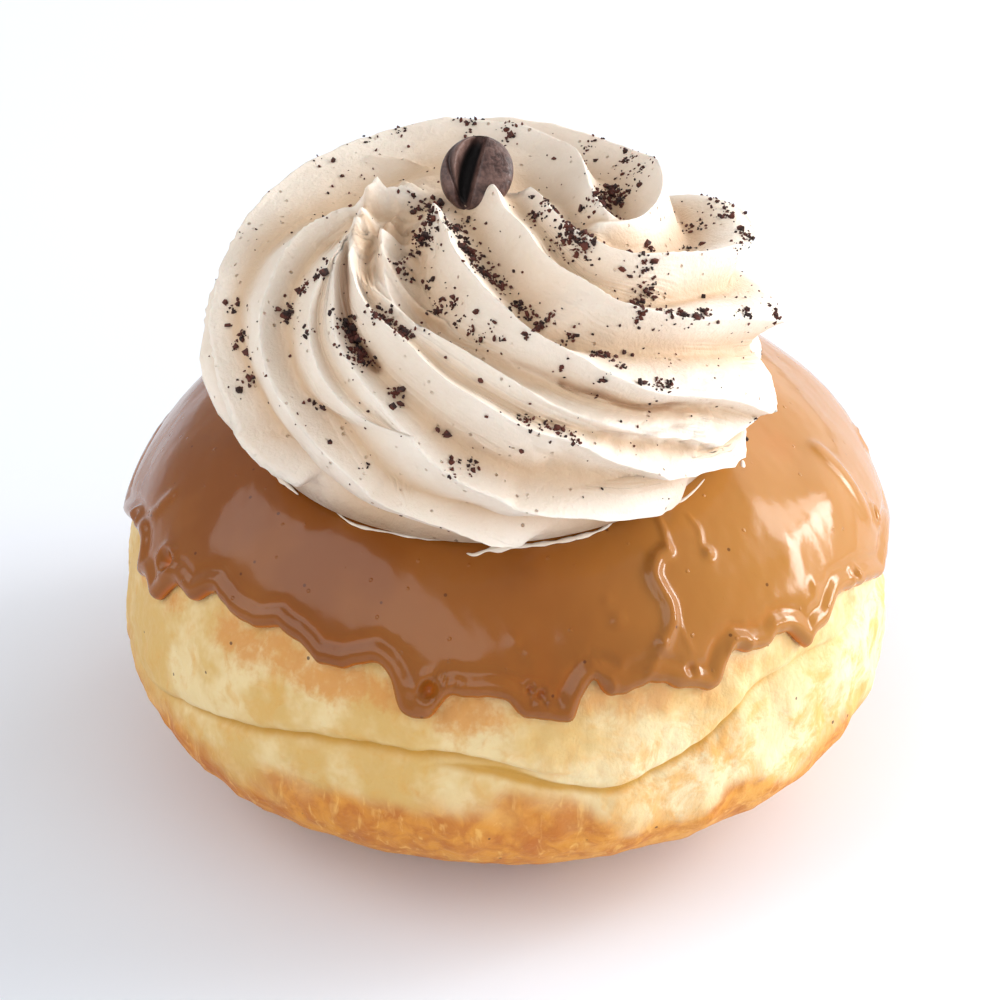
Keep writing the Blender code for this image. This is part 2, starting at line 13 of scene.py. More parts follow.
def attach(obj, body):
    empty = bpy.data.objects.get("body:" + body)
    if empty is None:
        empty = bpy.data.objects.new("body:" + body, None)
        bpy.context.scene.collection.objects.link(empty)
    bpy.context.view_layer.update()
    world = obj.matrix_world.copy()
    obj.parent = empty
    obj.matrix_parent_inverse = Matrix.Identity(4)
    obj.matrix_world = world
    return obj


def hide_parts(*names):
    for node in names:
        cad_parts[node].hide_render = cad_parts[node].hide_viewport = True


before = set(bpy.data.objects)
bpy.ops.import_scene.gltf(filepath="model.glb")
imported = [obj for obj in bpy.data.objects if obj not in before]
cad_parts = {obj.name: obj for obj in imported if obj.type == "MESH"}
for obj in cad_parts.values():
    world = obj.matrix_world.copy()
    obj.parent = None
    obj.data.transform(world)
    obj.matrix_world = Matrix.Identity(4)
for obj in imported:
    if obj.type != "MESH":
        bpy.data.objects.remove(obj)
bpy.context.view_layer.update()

METRE = 0.001
GAP = 0.3
WAVE_COUNT = 9

# ---- bun -------------------------------------------------------------------------------------
BUN_RADIUS = 43.7
BUN_EQUATOR = 16.0
BUN_TOP = 46.8
BUN_UPPER_POWER = 2.8
BUN_LOWER_POWER = 2.0
BUN_LOWER_DEPTH = 18.2
BUN_LUMP = 0.010
BUN_LUMP_SPAN = 46.0
LUMP_SEED = 3
LUMP_FROM = (1.0, 10.0)
PROFILE_STEPS = 400
BASE_STEPS = 60
# unevenness: size and span in mm, seed
BUN_WAVES = (0.22, 9.0, 31), (0.1, 3.6, 32), (0.05, 1.7, 33)
BROWN_WAVES = (1.6, 17.0, 21), (0.7, 5.0, 22)
# heights in mm between which waves and creases begin, and both end
WAVES_FROM = (0.5, 5.0)
CREASE_FROM = (3.0, 10.0)
SIDE_END = (38.0, 32.0)
BUN_COLUMNS = 720
BUN_ROWS = 136
CREASE_DEPTH = 1.15
CREASE_ABOVE = 0.6
CREASE_BELOW = 1.25
CREASE_LIP = 0.22
LIP_RISE = 2.2
CREASE_LEVEL = 22.0
CREASE_SHARPNESS = 1.25
PLAIN_CROWDING = 0.25
CREASE_CROWDING = 1.6
CREASE_BAND = 9.0
GUIDE_BAND = 9.0
LOW_CREASE_SHARE = 0.5
MAIN_CREASE = (
    (196, 17.0, 0.0), (205, 17.4, 0.5), (215, 19.1, 0.8), (226, 21.0, 1.0), (240, 23.3, 1.0),
    (254, 24.4, 1.0), (266, 24.3, 1.0), (276, 22.7, 0.6), (284, 21.9, 0.0),
)
SECOND_CREASE = (
    (252, 22.3, 0.0), (262, 23.1, 0.5), (270, 22.6, 0.9), (277, 21.1, 1.0), (285, 19.9, 1.0),
    (292, 21.0, 1.0), (299, 22.9, 1.0), (307, 26.1, 0.9), (315, 27.1, 0.7), (329, 26.4, 0.6),
    (345, 25.3, 0.6), (10, 24.0, 0.7), (40, 22.5, 0.7), (75, 23.5, 0.8), (110, 22.0, 0.7),
    (140, 20.0, 0.4), (156, 18.5, 0.0),
)
LOW_CREASE = ((236, 17.8, 0.0), (240, 17.5, 0.5), (246, 17.1, 0.5), (250, 16.7, 0.4),
              (256, 15.9, 0.0))
# upper edge of the brown fried underside: angle in degrees, height in mm
BROWN_EDGE = (
    (0, 14.5), (30, 16.0), (60, 17.0), (90, 18.0), (120, 17.0), (150, 16.0), (180, 16.0),
    (206, 15.0), (218, 14.4), (239, 16.8), (255, 18.3), (269, 18.0), (284, 16.8), (298, 15.6),
    (313, 15.0), (327, 15.0), (341, 14.5),
)
BROWN_SOFTNESS = (-2.6, 2.2)
# side of the bun facing the light on the right, where the finish paints a highlight and gold
# mottling; the share of it kept high up, and the heights in mm over which it falls to that share
LIT_AND_MOTTLED_SIDE = math.radians(330.0)
LIT_AND_MOTTLED_ABOVE = 0.35
LIT_AND_MOTTLED_UPPER = (29.0, 22.0)
# golden patches, most of them just under the glaze: angle in degrees, height and spread in mm
GOLD_PATCHES = (
    (198, 28.5, 1.6), (209, 30.0, 2.0), (222.5, 30.8, 2.4), (228, 30.5, 2.6), (233, 32.0, 2.4),
    (238, 30.6, 2.4), (243, 30.4, 2.2), (247, 31.0, 2.2), (252, 30.2, 2.0), (262, 29.6, 2.6),
    (267, 29.8, 2.6), (283, 30.8, 1.8), (288, 29.8, 2.2), (293, 29.6, 2.2), (300, 28.2, 1.6),
    (307.5, 30.4, 2.0), (327.5, 19.9, 1.8), (334, 29.0, 1.4), (20, 27.0, 3.0), (60, 29.0, 3.5),
    (100, 29.0, 3.5), (140, 28.0, 3.0), (170, 27.0, 3.0),
)

# ---- glaze -----------------------------------------------------------------------------------
GLAZE_THICKNESS = 1.2
GLAZE_RIM = 0.2
GLAZE_RIM_BACK = 1.1
GLAZE_RIM_SPREAD = 0.8
GLAZE_DIP = 0.26
GLAZE_DIP_BACK = 2.6
GLAZE_DIP_SPREAD = 0.6
GLAZE_ROUNDING = 1.1
GLAZE_COLUMNS = 800
GLAZE_ROWS = (104, 9, 12)
EDGE_BAND = 7.0
GLAZE_EDGE = (
    (0, 27.0), (8, 27.9), (14, 29.5), (22, 30.0), (29, 28.8), (33, 27.2), (38, 28.6), (44, 30.7),
    (53, 31.4), (61, 30.3), (67, 28.4), (72, 28.2), (79, 30.5), (88, 31.9), (97, 31.3),
    (105, 29.8), (111, 29.6), (118, 31.3), (127, 32.1), (135, 31.1), (141, 29.2), (146, 29.0),
    (153, 30.7), (162, 31.0), (171, 29.5), (179, 27.6), (184, 29.2), (189.5, 30.9), (194, 31.2),
    (196.5, 30.9), (198, 29.3), (201, 29.5), (203.5, 29.2), (205, 28.6), (207, 29.4), (208, 30.6),
    (209.5, 31.8), (212, 32.0), (214.5, 32.0), (216, 32.4), (217.5, 33.4), (221.5, 33.4),
    (225, 33.0), (228, 32.9), (230.5, 33.3), (233, 33.7), (235, 33.3), (238, 32.9), (241, 32.0),
    (243, 32.0), (246.5, 32.6), (248, 33.0), (250.5, 33.3), (252, 32.7), (253, 31.8),
    (253.7, 30.5), (254.4, 29.6), (255.3, 29.1), (257, 28.8), (258.3, 28.9), (259.5, 29.4),
    (260.5, 30.4), (261.5, 31.2), (263, 31.4), (266, 31.5), (269, 31.4), (270.5, 31.1),
    (271.5, 30.3), (273.5, 29.5), (275.5, 29.2), (278, 29.0), (279, 28.8), (280, 29.3),
    (280.7, 30.6), (281.5, 31.5), (282.5, 32.5), (283.3, 32.6), (284, 31.6), (285, 31.0),
    (286.5, 30.8), (288, 31.1), (290, 31.5), (292, 31.4), (293.5, 31.1), (295, 30.6), (298, 29.7),
    (300.5, 29.2), (302, 29.4), (303, 29.9), (304, 30.8), (305, 31.7), (306.5, 32.1), (309, 31.1),
    (311, 30.9), (315, 31.4), (317, 31.1), (318.5, 29.4), (319.5, 28.5), (321, 28.9),
    (323.5, 29.2), (326, 30.0), (328.5, 30.9), (332, 30.8), (336, 29.7), (340.5, 28.4),
    (343.5, 27.6), (347, 27.8), (350.5, 28.1), (356.5, 27.8),
)

# side of the glaze facing the light, painted paler there as a highlight
GLAZE_LIGHT_SIDE = math.radians(0.0)
# unevenness: size and span in mm, seed
GLAZE_EDGE_WAVES = (0.12, 5.0, 41), (0.08, 2.2, 41)
GLAZE_WAVES = (0.16, 17.0, 42), (0.03, 7.0, 42), (0.01, 2.4, 42)
GLAZE_WAVES_FROM = (0.5, 4.0)
GLAZE_MARKS_FROM = (0.0, 1.2)
GLAZE_CROWDING = 0.8
RIM_FROM = 0.96
SLOPE_REACH = 0.5
# way from the peak down the bun in mm: (degrees, way, radius, depth)
GLAZE_HOLES = (
    (259.0, 46.3, 0.85, 1.1), (263.0, 45.4, 0.3, 0.5), (273.5, 45.7, 0.4, 0.7),
    (275.0, 46.2, 0.45, 0.8), (275.6, 47.0, 0.4, 0.6), (284.0, 46.1, 0.6, 1.0),
    (297.7, 46.3, 0.5, 0.5), (306.5, 46.4, 0.8, 1.0), (206.0, 44.8, 0.85, 1.0),
    (350.0, 45.8, 0.6, 0.9), (334.5, 46.6, 0.5, 0.8), (190.0, 46.4, 0.7, 0.9),
    (150.0, 45.2, 1.0, 0.9), (120.0, 44.0, 0.8, 0.8), (80.0, 45.0, 1.1, 0.9),
    (45.0, 45.2, 0.9, 0.8), (12.0, 46.0, 0.8, 0.7),
)
HOLE_RING = 0.35
HOLE_RING_REACH = 1.9
HOLE_RING_SPREAD = 0.6
GLAZE_BLOBS = (
    (288.0, 39.8, 0.8, 0.3), (287.0, 37.6, 0.6, 0.2), (308.0, 35.9, 0.6, 0.7),
    (323.5, 39.8, 2.4, 0.12), (273.5, 42.3, 0.9, 0.15), (271.5, 41.0, 0.7, 0.15),
    (340.0, 38.0, 4.0, 0.4), (256.5, 46.4, 0.7, 0.5), (286.5, 44.8, 1.0, 0.45),
    (296.0, 46.2, 0.8, 0.3), (309.0, 43.8, 0.35, 0.25), (311.5, 44.6, 0.3, 0.25),
    (313.5, 45.2, 0.3, 0.25), (222.0, 37.5, 2.0, 0.1), (324.5, 44.2, 0.6, 0.3),
)
RUN_STEPS = 5
GLAZE_RUNS = (
    (0.45, 0.3, ((302.5, 30.5), (302.0, 32.3), (300.7, 34.0))),
    (0.75, 0.7, ((300.3, 34.2), (298.0, 34.8), (296.3, 36.2), (296.5, 37.9), (297.0, 39.5),
                 (296.5, 41.0), (295.5, 42.0), (294.0, 43.0))),
    (0.5, 0.3, ((294.0, 43.0), (292.7, 44.4), (291.0, 45.6))),
    (0.3, 0.3, ((309.0, 31.4), (309.2, 33.1), (307.7, 34.8))),
    (0.35, 0.2, ((297.5, 41.6), (298.2, 43.5), (298.6, 44.6))),
    (1.2, 0.4, ((350.0, 36.0), (348.0, 40.0), (346.0, 44.0))),
    (0.8, 0.25, ((197.0, 40.0), (196.0, 42.5), (194.5, 45.0))),
)

# ---- cream swirl -----------------------------------------------------------------------------
SWIRL_X = -1.4
SWIRL_Y = -4.2
SWIRL_RADIUS = 32.6
SWIRL_WIDEST = 52.0
SWIRL_RISE = 21.2
SWIRL_POWER = 2.64
SWIRL_FOOT = 27.0
SWIRL_FOOT_FRONT = 0.3
SWIRL_FOOT_POWER = 1.7
SWIRL_WIDEST_SHARE = 0.74
SWIRL_SEAT_GAP = 0.35
SWIRL_ROWS = 144
SWIRL_UNDER_ROWS = 10
FLUTE_DEPTH = 5.4
FLUTE_SPACING = 7.0
FLUTE_LEAN = 0.9
# sides on which the troughs lean, and the shares over which they begin and end to
LEAN_SIDE = math.radians(350.0)
LEAN_FROM = (0.3, 0.45)
BACK_LEAN = 2.2
BACK_LEAN_SIDE = math.radians(250.0)
BACK_LEAN_FROM = (0.22, 0.32)
BACK_LEAN_END = (0.95, 0.8)
SIDES_FROM = 0.22
CREST_ROUNDING = 0.025
NICK_DEPTH = 0.1
NICK_REACH = 0.4
NICK_SPAN = 0.9
NICK_SEED = 11
STREAK_DEPTH = 0.09
STREAK_SEED = 17
STREAKS_FROM = (0.05, 0.2)
STREAK_PATCHES = (12.0, 14)
# unevenness: size and span in mm, seed
CREAM_WAVES = (0.1, 6.0, 12), (0.035, 1.8, 13)
EDGE_HEIGHT = 0.3
EDGE_WIDTH = 0.32
# shares over which nicks and edge begin, and shares before a crest's end over which they fade
EDGE_FROM = (0.15, 0.3)
EDGE_END = (-0.02, 0.05)
# reach in mm of the painted highlight along the crests
CREST_HIGHLIGHT_REACH = 0.5
CREST_APART = 1.2
# a crest that ends above the foot: mm added to its distance, and the shares past its end
END_FADE = 12.0
END_SHARES = (-0.03, 0.12)
PAST_END = 0.04
FOOT_SHARE = 0.8
# the flutes run out towards the foot
FOOT_FROM = 0.86
FOOT_LOSS = 0.6
SHARE_STEP = 0.004
SHARE_STEPS = 2001
FLUTE_STEPS = 8
# crests of the piped ridges: columns of the mesh up to the next crest, drop below the dome in mm,
# and (angle in degrees, share of the way from peak to foot)
CRESTS = (
    (50, 0.0, ((176, .10), (189, .17), (190, .21), (195, .29), (204, .38), (210, .46),
               (220, .57), (229, .64), (237, .69), (245, .73), (253, .78), (261, .81),
    (268, .86), (276, .94))),
    (36, 0.0, ((210, .23), (216, .29), (223, .40), (232, .51), (240, .57), (246, .60),
               (254, .612))),
    (64, 0.0, ((207, .19), (210, .23), (214, .26), (220, .30), (226, .35), (233, .43),
               (243, .51), (251, .58), (261, .68), (272, .73), (281, .77), (290, .81),
    (302, .86), (312, .93))),
    (40, 0.3, ((202, .17), (205, .19), (211, .22), (218, .25), (225, .28), (235, .33),
               (249, .39), (260, .47), (268, .52), (276, .58), (286, .63), (294, .69),
    (305, .74), (315, .79), (329, .84), (342, .93))),
    (60, 1.7, ((214, .16), (228, .22), (242, .30), (255, .35), (264, .39), (273, .45),
               (282, .53), (292, .60), (302, .66), (318, .73), (334, .79), (350, .87),
    (359, .94))),
    (86, 0.0, ((221, .08), (239, .10), (250, .14), (258, .18), (264, .22), (272, .28),
               (278, .34), (289, .43), (294, .48), (300, .53), (306, .57), (318, .63),
    (326, .68), (334, .73), (350, .79), (368, .86), (384, .94))),
    (110, 0.0, ((270, .02), (285, .05), (290, .09), (291, .14), (294, .20), (298, .24),
                (302, .29), (306, .34), (315, .40), (321, .44), (334, .51), (347, .60),
    (360, .68), (380, .75), (400, .81), (420, .88), (435, .95))),
    (84, 0.0, ((350, .03), (322, .07), (315, .12), (316, .16), (318, .20), (322, .24),
               (330, .28), (338, .32), (348, .38), (367, .48), (385, .51), (405, .54),
    (425, .58), (445, .63), (465, .70), (485, .79), (500, .92))),
    (56, 0.0, ((328, .15), (336, .18), (345, .20), (366, .23), (383, .26), (398, .30),
               (412, .33), (430, .37), (455, .43), (480, .51), (505, .60), (525, .70),
    (540, .79), (552, .92))),
    (54, 0.0, ((335, .16), (343, .13), (358, .11), (378, .11), (395, .13), (407, .15),
               (420, .17), (440, .20), (465, .25), (490, .31), (515, .38), (532, .44),
    (546, .52), (556, .61), (565, .68), (574, .76), (584, .88))),
)
LAST_CREST_START = 3
SHALLOWS = ((186, 0.50, 15.0, 0.80), (248, 0.68, 8.0, 0.45), (110, 0.10, 9.0, 0.55),
            (200, 0.02, 7.0, 0.60))
# places lower (or higher) than the dome: (angle in degrees, share, spread in mm, depth in mm)
DENTS = (
    (48, 0.51, 7.5, 3.6), (70, 0.37, 7.0, 0.4), (97, 0.33, 10.0, -0.5), (2, 0.785, 4.0, 4.0),
    (349, 0.80, 4.0, 1.2), (10, 0.172, 2.6, 1.6), (26, 0.170, 2.6, 1.6), (223, 0.88, 5.0, 1.4),
    (238, 0.93, 5.0, 1.0), (251, 0.93, 5.5, 1.2),
)
TORN_SEED = 7
TORN_SWELL = 0.9
TORN_CREASE = 1.4
# torn places: (angle in degrees, share, spread in mm, height in mm, span in mm)
TORN = (
    (216, 0.14, 5.0, 0.8, 3.4), (318, 0.72, 8.0, 0.5, 5.0), (285, 0.60, 7.0, 0.35, 5.0),
    (160, 0.13, 4.0, 0.8, 3.0), (308, 0.66, 4.5, 0.35, 3.2), (316, 0.69, 4.0, 0.35, 2.8),
)
# grooves, and raised seams and tips, in the cream: width and depth in mm, (angle, share) course
GROOVES = (
    (0.7, 1.2, ((213, .234), (217.5, .261), (223.5, .301), (227.5, .338), (231.5, .378),
                (235, .408), (239, .436), (242, .458))),
    (0.45, -1.1, ((210, .179), (206.5, .176), (192, .156), (188, .144), (183.5, .131))),
    (0.45, -1.0, ((202.5, .179), (212.5, .214), (214.5, .231), (220.5, .256), (226.5, .276),
                  (232, .286), (238.5, .299), (245.5, .324))),
    (0.45, -1.0, ((197.5, .116), (207, .141), (211.5, .159), (220, .184), (228, .206),
                  (234.5, .224), (240, .236), (246.5, .251), (255, .284))),
    (0.25, 0.22, ((214.5, .189), (218, .216), (227.5, .254), (236, .281), (243.5, .304),
                  (250.5, .334))),
    (0.25, 0.22, ((216.5, .184), (222.5, .214), (231.5, .249), (238.5, .271), (244.5, .286),
                  (253, .329))),
    (0.4, -0.5, ((181, .114), (186.5, .109), (191, .106))),
    (0.5, -0.6, ((134, .266), (129, .224), (127, .189), (127.5, .139))),
    (0.3, 0.35, ((275, .40), (281, .435), (286, .470))),
    (0.4, 0.8, ((286, .470), (289, .496), (294, .528), (297.5, .561), (301, .586), (304, .601),
                (312, .625))),
    (0.35, 0.5, ((292.5, .626), (298.5, .651), (303.5, .663), (308.5, .67), (314, .683))),
    (0.9, -0.7, ((293, .60), (301, .635), (311, .66), (320, .69))),
    (0.7, -0.9, ((182, .134), (188, .15))),
    (1.1, -1.6, ((262, .012), (275, .028))),
    (0.8, -0.8, ((222.5, .079), (228, .083))),
    (0.7, -0.5, ((211, .222), (211.5, .23))),
    (0.7, -0.5, ((205.5, .18), (206, .19))),
    (0.7, -0.5, ((188.5, .152), (189.5, .16))),
)
# thin smears of cream on the glaze beside the foot: half width in mm, and the course as
# (degrees, way from the peak down the bun in mm)
SMEARS = (
    (0.34, ((208.5, 30.4), (211.5, 30.1), (215.0, 30.1), (218.5, 30.2), (222.5, 30.5))),
    (0.42, ((221.5, 29.9), (224.0, 29.3), (226.5, 29.1))),
    (0.17, ((231.0, 30.0), (236.0, 30.9), (240.0, 31.1), (247.5, 30.8), (254.0, 30.8),
            (258.0, 30.6))),
    (0.3, ((262.3, 31.9), (264.0, 32.0), (267.0, 31.3), (273.0, 30.9), (281.0, 30.6),
           (289.5, 30.0), (294.0, 29.0))),
    (0.16, ((296.0, 29.3), (303.0, 29.7), (311.0, 29.4), (319.5, 28.4))),
    (0.5, ((329.5, 30.0), (331.5, 29.4))),
)
SMEAR_COLUMNS = 10
SMEAR_ROWS = 40
SMEAR_HEIGHT = 0.55
SMEAR_WAVES = ((0.35, 2.2, 51),)

# ---- coffee bean -----------------------------------------------------------------------------
BEAN_CENTRE = (-3.2, -4.3, 74.6)
BEAN_LENGTH = 8.7
BEAN_WIDTH = 7.8
BEAN_FACE = 1.7
BEAN_BACK = 3.0
BEAN_FACE_POWER = 0.55
BEAN_COLUMNS = 200
BEAN_ROWS = 110
BEAN_CROWDING = 0.62
BEAN_NORMAL = (0.10, -0.72, 0.70)
BEAN_AXIS = (0.34, 0.45, 0.60)
FURROW_DEPTH = 2.7
FURROW_WIDTH = 0.85
FURROW_TAPER = 0.45
FURROW_SIDE = 1.0
FURROW_SLANT = 0.75
FURROW_BEND = -0.6
FURROW_LIP = 1.35
FOLD_SIDE = 2.4
FOLD_WIDTH = 0.28
FOLD_DEPTH = 0.4
FOLD_ARCH = 1.1
FOLD_HIGH = 0.15
LOBE_SIDE = 1.75
LOBE_WIDTH = 0.45
LOBE_HEIGHT = 0.2

# ---- ground coffee ---------------------------------------------------------------------------
GROUND_SEED = 5
# heaps: spread in mm, grains, and the places (angle in degrees, share)
HEAPS = (
    (1.0, 60, ((233, .398), (236.5, .428), (239, .458), (231, .376))),
    (1.0, 60, ((239.5, .341), (247, .363))),
    (0.6, 20, ((248.5, .518), (236.5, .441), (242.5, .348))),
    (1.0, 40, ((213.5, .428), (212.5, .436))),
    (1.0, 26, ((215.5, .319), (214, .366))),
    (1.2, 70, ((189.5, .069), (227, .114), (222.5, .094), (239, .074))),
    (1.0, 34, ((250.5, .089), (259, .104), (263.5, .136), (268.5, .144), (273, .166),
               (279.5, .229), (286.5, .281), (254.5, .109))),
    (1.1, 60, ((313, .121), (312, .144), (313, .164))),
    (1.0, 30, ((328.5, .061), (315, .064))),
    (1.2, 60, ((31.5, .179), (36, .211), (29.5, .214), (18.5, .166), (349.5, .124))),
    (1.3, 30, ((325, .246), (323.5, .271), (323, .304), (319, .306))),
    (0.8, 22, ((308.5, .368), (315, .396), (318.5, .413), (322, .431), (325.5, .438),
               (335.5, .506), (348, .593), (305, .541), (307, .551))),
    (0.7, 16, ((297, .406), (299, .413))),
    (1.0, 16, ((340, .239), (0.5, .336), (355, .418), (225.5, .441), (223.5, .154))),
    (0.8, 14, ((250, .244), (233.5, .181), (241, .184), (250.5, .216), (257, .231),
               (250.5, .241), (259.5, .284), (263.5, .309), (267, .336))),
    (0.8, 12, ((196, .538), (202.5, .573), (201, .611), (206, .601), (208, .658), (207.5, .68),
               (294, .421), (227.5, .189), (253.5, .338), (144, .348), (129, .304),
    (120.5, .276))),
    (0.7, 16, ((263, .68), (266, .693), (275.5, .563), (277, .573), (280.5, .586), (283.5, .601),
               (286, .621), (282, .256), (282.5, .326), (291.5, .336), (299, .471))),
    (0.5, 8, ((229, .616), (232, .623), (244.5, .71), (269.5, .311), (272, .351), (278, .361),
              (293.5, .493), (286, .441), (319, .154), (250.5, .548), (248, .368))),
    (1.5, 30, ((83.5, .196), (98.5, .226), (61.5, .329), (46, .306), (36.5, .276))),
    (1.6, 24, ((14.5, .383), (14, .433), (23.5, .451), (3, .436))),
)
# single large grains: (angle in degrees, share, radius in mm)
LARGE_GRAINS = (
    (250, .506, .62), (258.5, .606, .45), (260.5, .616, .45), (227, .108, .5), (234, .41, .55),
    (237.5, .44, .5), (240, .338, .5), (247.5, .366, .45), (213.2, .432, .5), (230, .372, .45),
    (232, .62, .42), (206, .6, .42), (262, .675, .4), (254, .1, .45), (313, .13, .5),
    (20, .168, .5), (322, .3, .45), (309, .37, .45), (335, .508, .4), (283, .596, .42),
)
GRAIN_SIZE = 0.16
GRAIN_LIMITS = (0.07, 0.5)
LOOSE_GRAINS = 520
GRAIN_KINDS = 14
GRAIN_PROUD = 0.35
HEAP_SHARES = (0.005, 0.92)
LOOSE_SHARES = (0.02, 0.86)
LEAST_REACH = 3.0
CREAM_MIDDLE = 46.0
# way in mm from the peak of the dome to its foot
DOME_WAY = 58.0


def smooth(value, start, end):
    """0 before start, 1 after end, with a soft change between."""
    part = np.clip((value - start) / (end - start), 0.0, 1.0)
    return part * part * (3.0 - 2.0 * part)


def waves(points, span, seed):
    """Seeded smooth unevenness of the space, about -1 to 1, with wavelengths near span mm."""
    rng = np.random.default_rng(seed)
    total = np.zeros(points.shape[:-1])
    for _ in range(WAVE_COUNT):
        heading = rng.normal(size=3)
        heading *= rng.uniform(0.7, 1.4) * 2.0 * math.pi / (span * np.linalg.norm(heading))
        total += np.sin(points @ heading + rng.uniform(0.0, 2.0 * math.pi))
    return total / math.sqrt(WAVE_COUNT)


def roughened(level, points, table):
    """A level with seeded unevenness added: a table of (size in mm, span in mm, seed)."""
    for size, span, seed in table:
        level = level + size * waves(points, span, seed)
    return level


def bell(away):
    """1 where away is nothing, with a soft fall on both sides."""
    return np.exp(-(away**2))


def mound(points, centre, spread):
    """1 at the centre, with a soft fall round it."""
    return bell(np.linalg.norm(points - centre, axis=1) / spread)


def turned(column, columns):
    """Angle of a column of a skin."""
    return column * 2.0 * math.pi / columns


def soft_table(places, levels, wanted):
    """Cubic (Catmull-Rom) reading of a table."""
    slope = np.gradient(levels, places)
    index = np.clip(np.searchsorted(places, wanted, side="right") - 1, 0, len(places) - 2)
    width = places[index + 1] - places[index]
    part = np.clip((wanted - places[index]) / width, 0.0, 1.0)
    rise = part * part * (3.0 - 2.0 * part)
    lead = part * (1.0 - part) ** 2
    trail = part * part * (1.0 - part)
    curved = slope[index] * lead * width - slope[index + 1] * trail * width
    return levels[index] * (1.0 - rise) + levels[index + 1] * rise + curved


def along(course, count):
    """A course of pairs read at count places from its first row to its last, without corners."""
    rows = np.array(course, float)
    places = np.arange(len(rows), dtype=float)
    wanted = np.linspace(0.0, places[-1], count)
    return soft_table(places, rows[:, 0], wanted), soft_table(places, rows[:, 1], wanted)


def ring(table, angle):
    """A closed table of (degrees, level) read at angles in radians, without corners."""
    rows = np.array(sorted((turn % 360.0, level) for turn, level in table))
    turn = np.concatenate([rows[:, 0] - 360.0, rows[:, 0], rows[:, 0] + 360.0])
    return soft_table(turn, np.tile(rows[:, 1], 3), np.degrees(angle) % 360.0)


def closed_skin(name, columns, rows, place):
    """A sheet whose columns run round the shape and whose rows run down it, moved on to the shape
    by place(column, row) in mm, then closed at its seam and its two ends. place also gives the
    tones that the finish reads."""
    sheet = bmesh.new()
    bmesh.ops.create_grid(sheet, x_segments=columns, y_segments=rows, size=1.0)
    mesh = bpy.data.meshes.new(name)
    sheet.to_mesh(mesh)
    flat = np.empty(len(mesh.vertices) * 3)
    mesh.vertices.foreach_get("co", flat)
    flat = flat.reshape(-1, 3)
    column = np.rint((flat[:, 0] + 1.0) / 2.0 * columns).astype(int) % columns
    row = np.rint((1.0 - flat[:, 1]) / 2.0 * rows).astype(int)
    points, tones = place(column, row)
    for end in (0, rows):
        points[row == end] = points[row == end].mean(axis=0)
    mesh.vertices.foreach_set("co", (points * METRE).ravel())
    for tone, values in tones.items():
        mesh.attributes.new(tone, "FLOAT", "POINT").data.foreach_set("value", values)
    sheet.free()
    sheet = bmesh.new()
    sheet.from_mesh(mesh)
    bmesh.ops.remove_doubles(sheet, verts=[v for v in sheet.verts if v.is_boundary], dist=1e-8)
    sheet.to_mesh(mesh)
    sheet.free()
    mesh.polygons.foreach_set("use_smooth", np.ones(len(mesh.polygons), bool))
    return finished(name, mesh)


def finished(name, mesh):
    piece = bpy.data.objects.new(name, mesh)
    bpy.context.scene.collection.objects.link(piece)
    return piece


# ---- forms of the bun and the glaze ----------------------------------------------------------
def bun_profile(grow):
    """Half section of the bun from peak to middle of the base, as (radius, height) in mm."""
    turn = np.linspace(0.0, math.pi / 2.0, PROFILE_STEPS)
    side = BUN_RADIUS + grow
    rise = BUN_TOP + grow - BUN_EQUATOR
    upper = np.stack([side * np.sin(turn) ** (2.0 / BUN_UPPER_POWER),
                      BUN_EQUATOR + rise * np.cos(turn) ** (2.0 / BUN_UPPER_POWER)], axis=1)
    lower = np.stack([side * np.cos(turn) ** (2.0 / BUN_LOWER_POWER),
                      BUN_EQUATOR - BUN_LOWER_DEPTH * np.sin(turn) ** (2.0 / BUN_LOWER_POWER)],
                     axis=1)
    lower = lower[lower[:, 1] > 0.0]
    base = np.stack([np.linspace(lower[-1, 0], 0.0, BASE_STEPS), np.zeros(BASE_STEPS)], axis=1)
    return np.concatenate([upper, lower[1:], base])


def travelled(profile, weight=None):
    """Length along a profile up to each of its points, times a weight of its height."""
    steps = np.linalg.norm(np.diff(profile, axis=0), axis=1)
    if weight is not None:
        steps *= weight((profile[1:, 1] + profile[:-1, 1]) / 2.0)
    return np.concatenate([[0.0], np.cumsum(steps)])


def lump(points):
    """Slight swelling of the bun, the same for everything that lies on it."""
    swell = BUN_LUMP * waves(points, BUN_LUMP_SPAN, LUMP_SEED)
    return 1.0 + swell * smooth(points[..., 2], *LUMP_FROM)


def swollen(radius, angle, height):
    points = np.stack([radius * np.cos(angle), radius * np.sin(angle), height], axis=-1)
    points[..., :2] *= lump(points)[..., None]
    return points


def crease_course(angle, table):
    """Height of a crease at an angle, and its share of the full depth."""
    rows = np.array(table, float)
    rows[:, 0] = np.degrees(np.unwrap(np.radians(rows[:, 0])))
    turn = (np.degrees(angle) - rows[0, 0]) % 360.0 + rows[0, 0]
    level = soft_table(rows[:, 0], rows[:, 1], turn)
    strength = np.where(turn > rows[-1, 0], 0.0, soft_table(rows[:, 0], rows[:, 2], turn))
    return level, strength


def crease_inset(away, strength):
    """How far the skin is drawn in at a height above a crease; its upper lip swells a little."""
    spread = np.where(away > 0.0, CREASE_ABOVE, CREASE_BELOW)
    cut = strength * CREASE_DEPTH * np.exp(-np.abs(away / spread) ** CREASE_SHARPNESS)
    return cut - strength * CREASE_LIP * bell((away - LIP_RISE) / LIP_RISE)


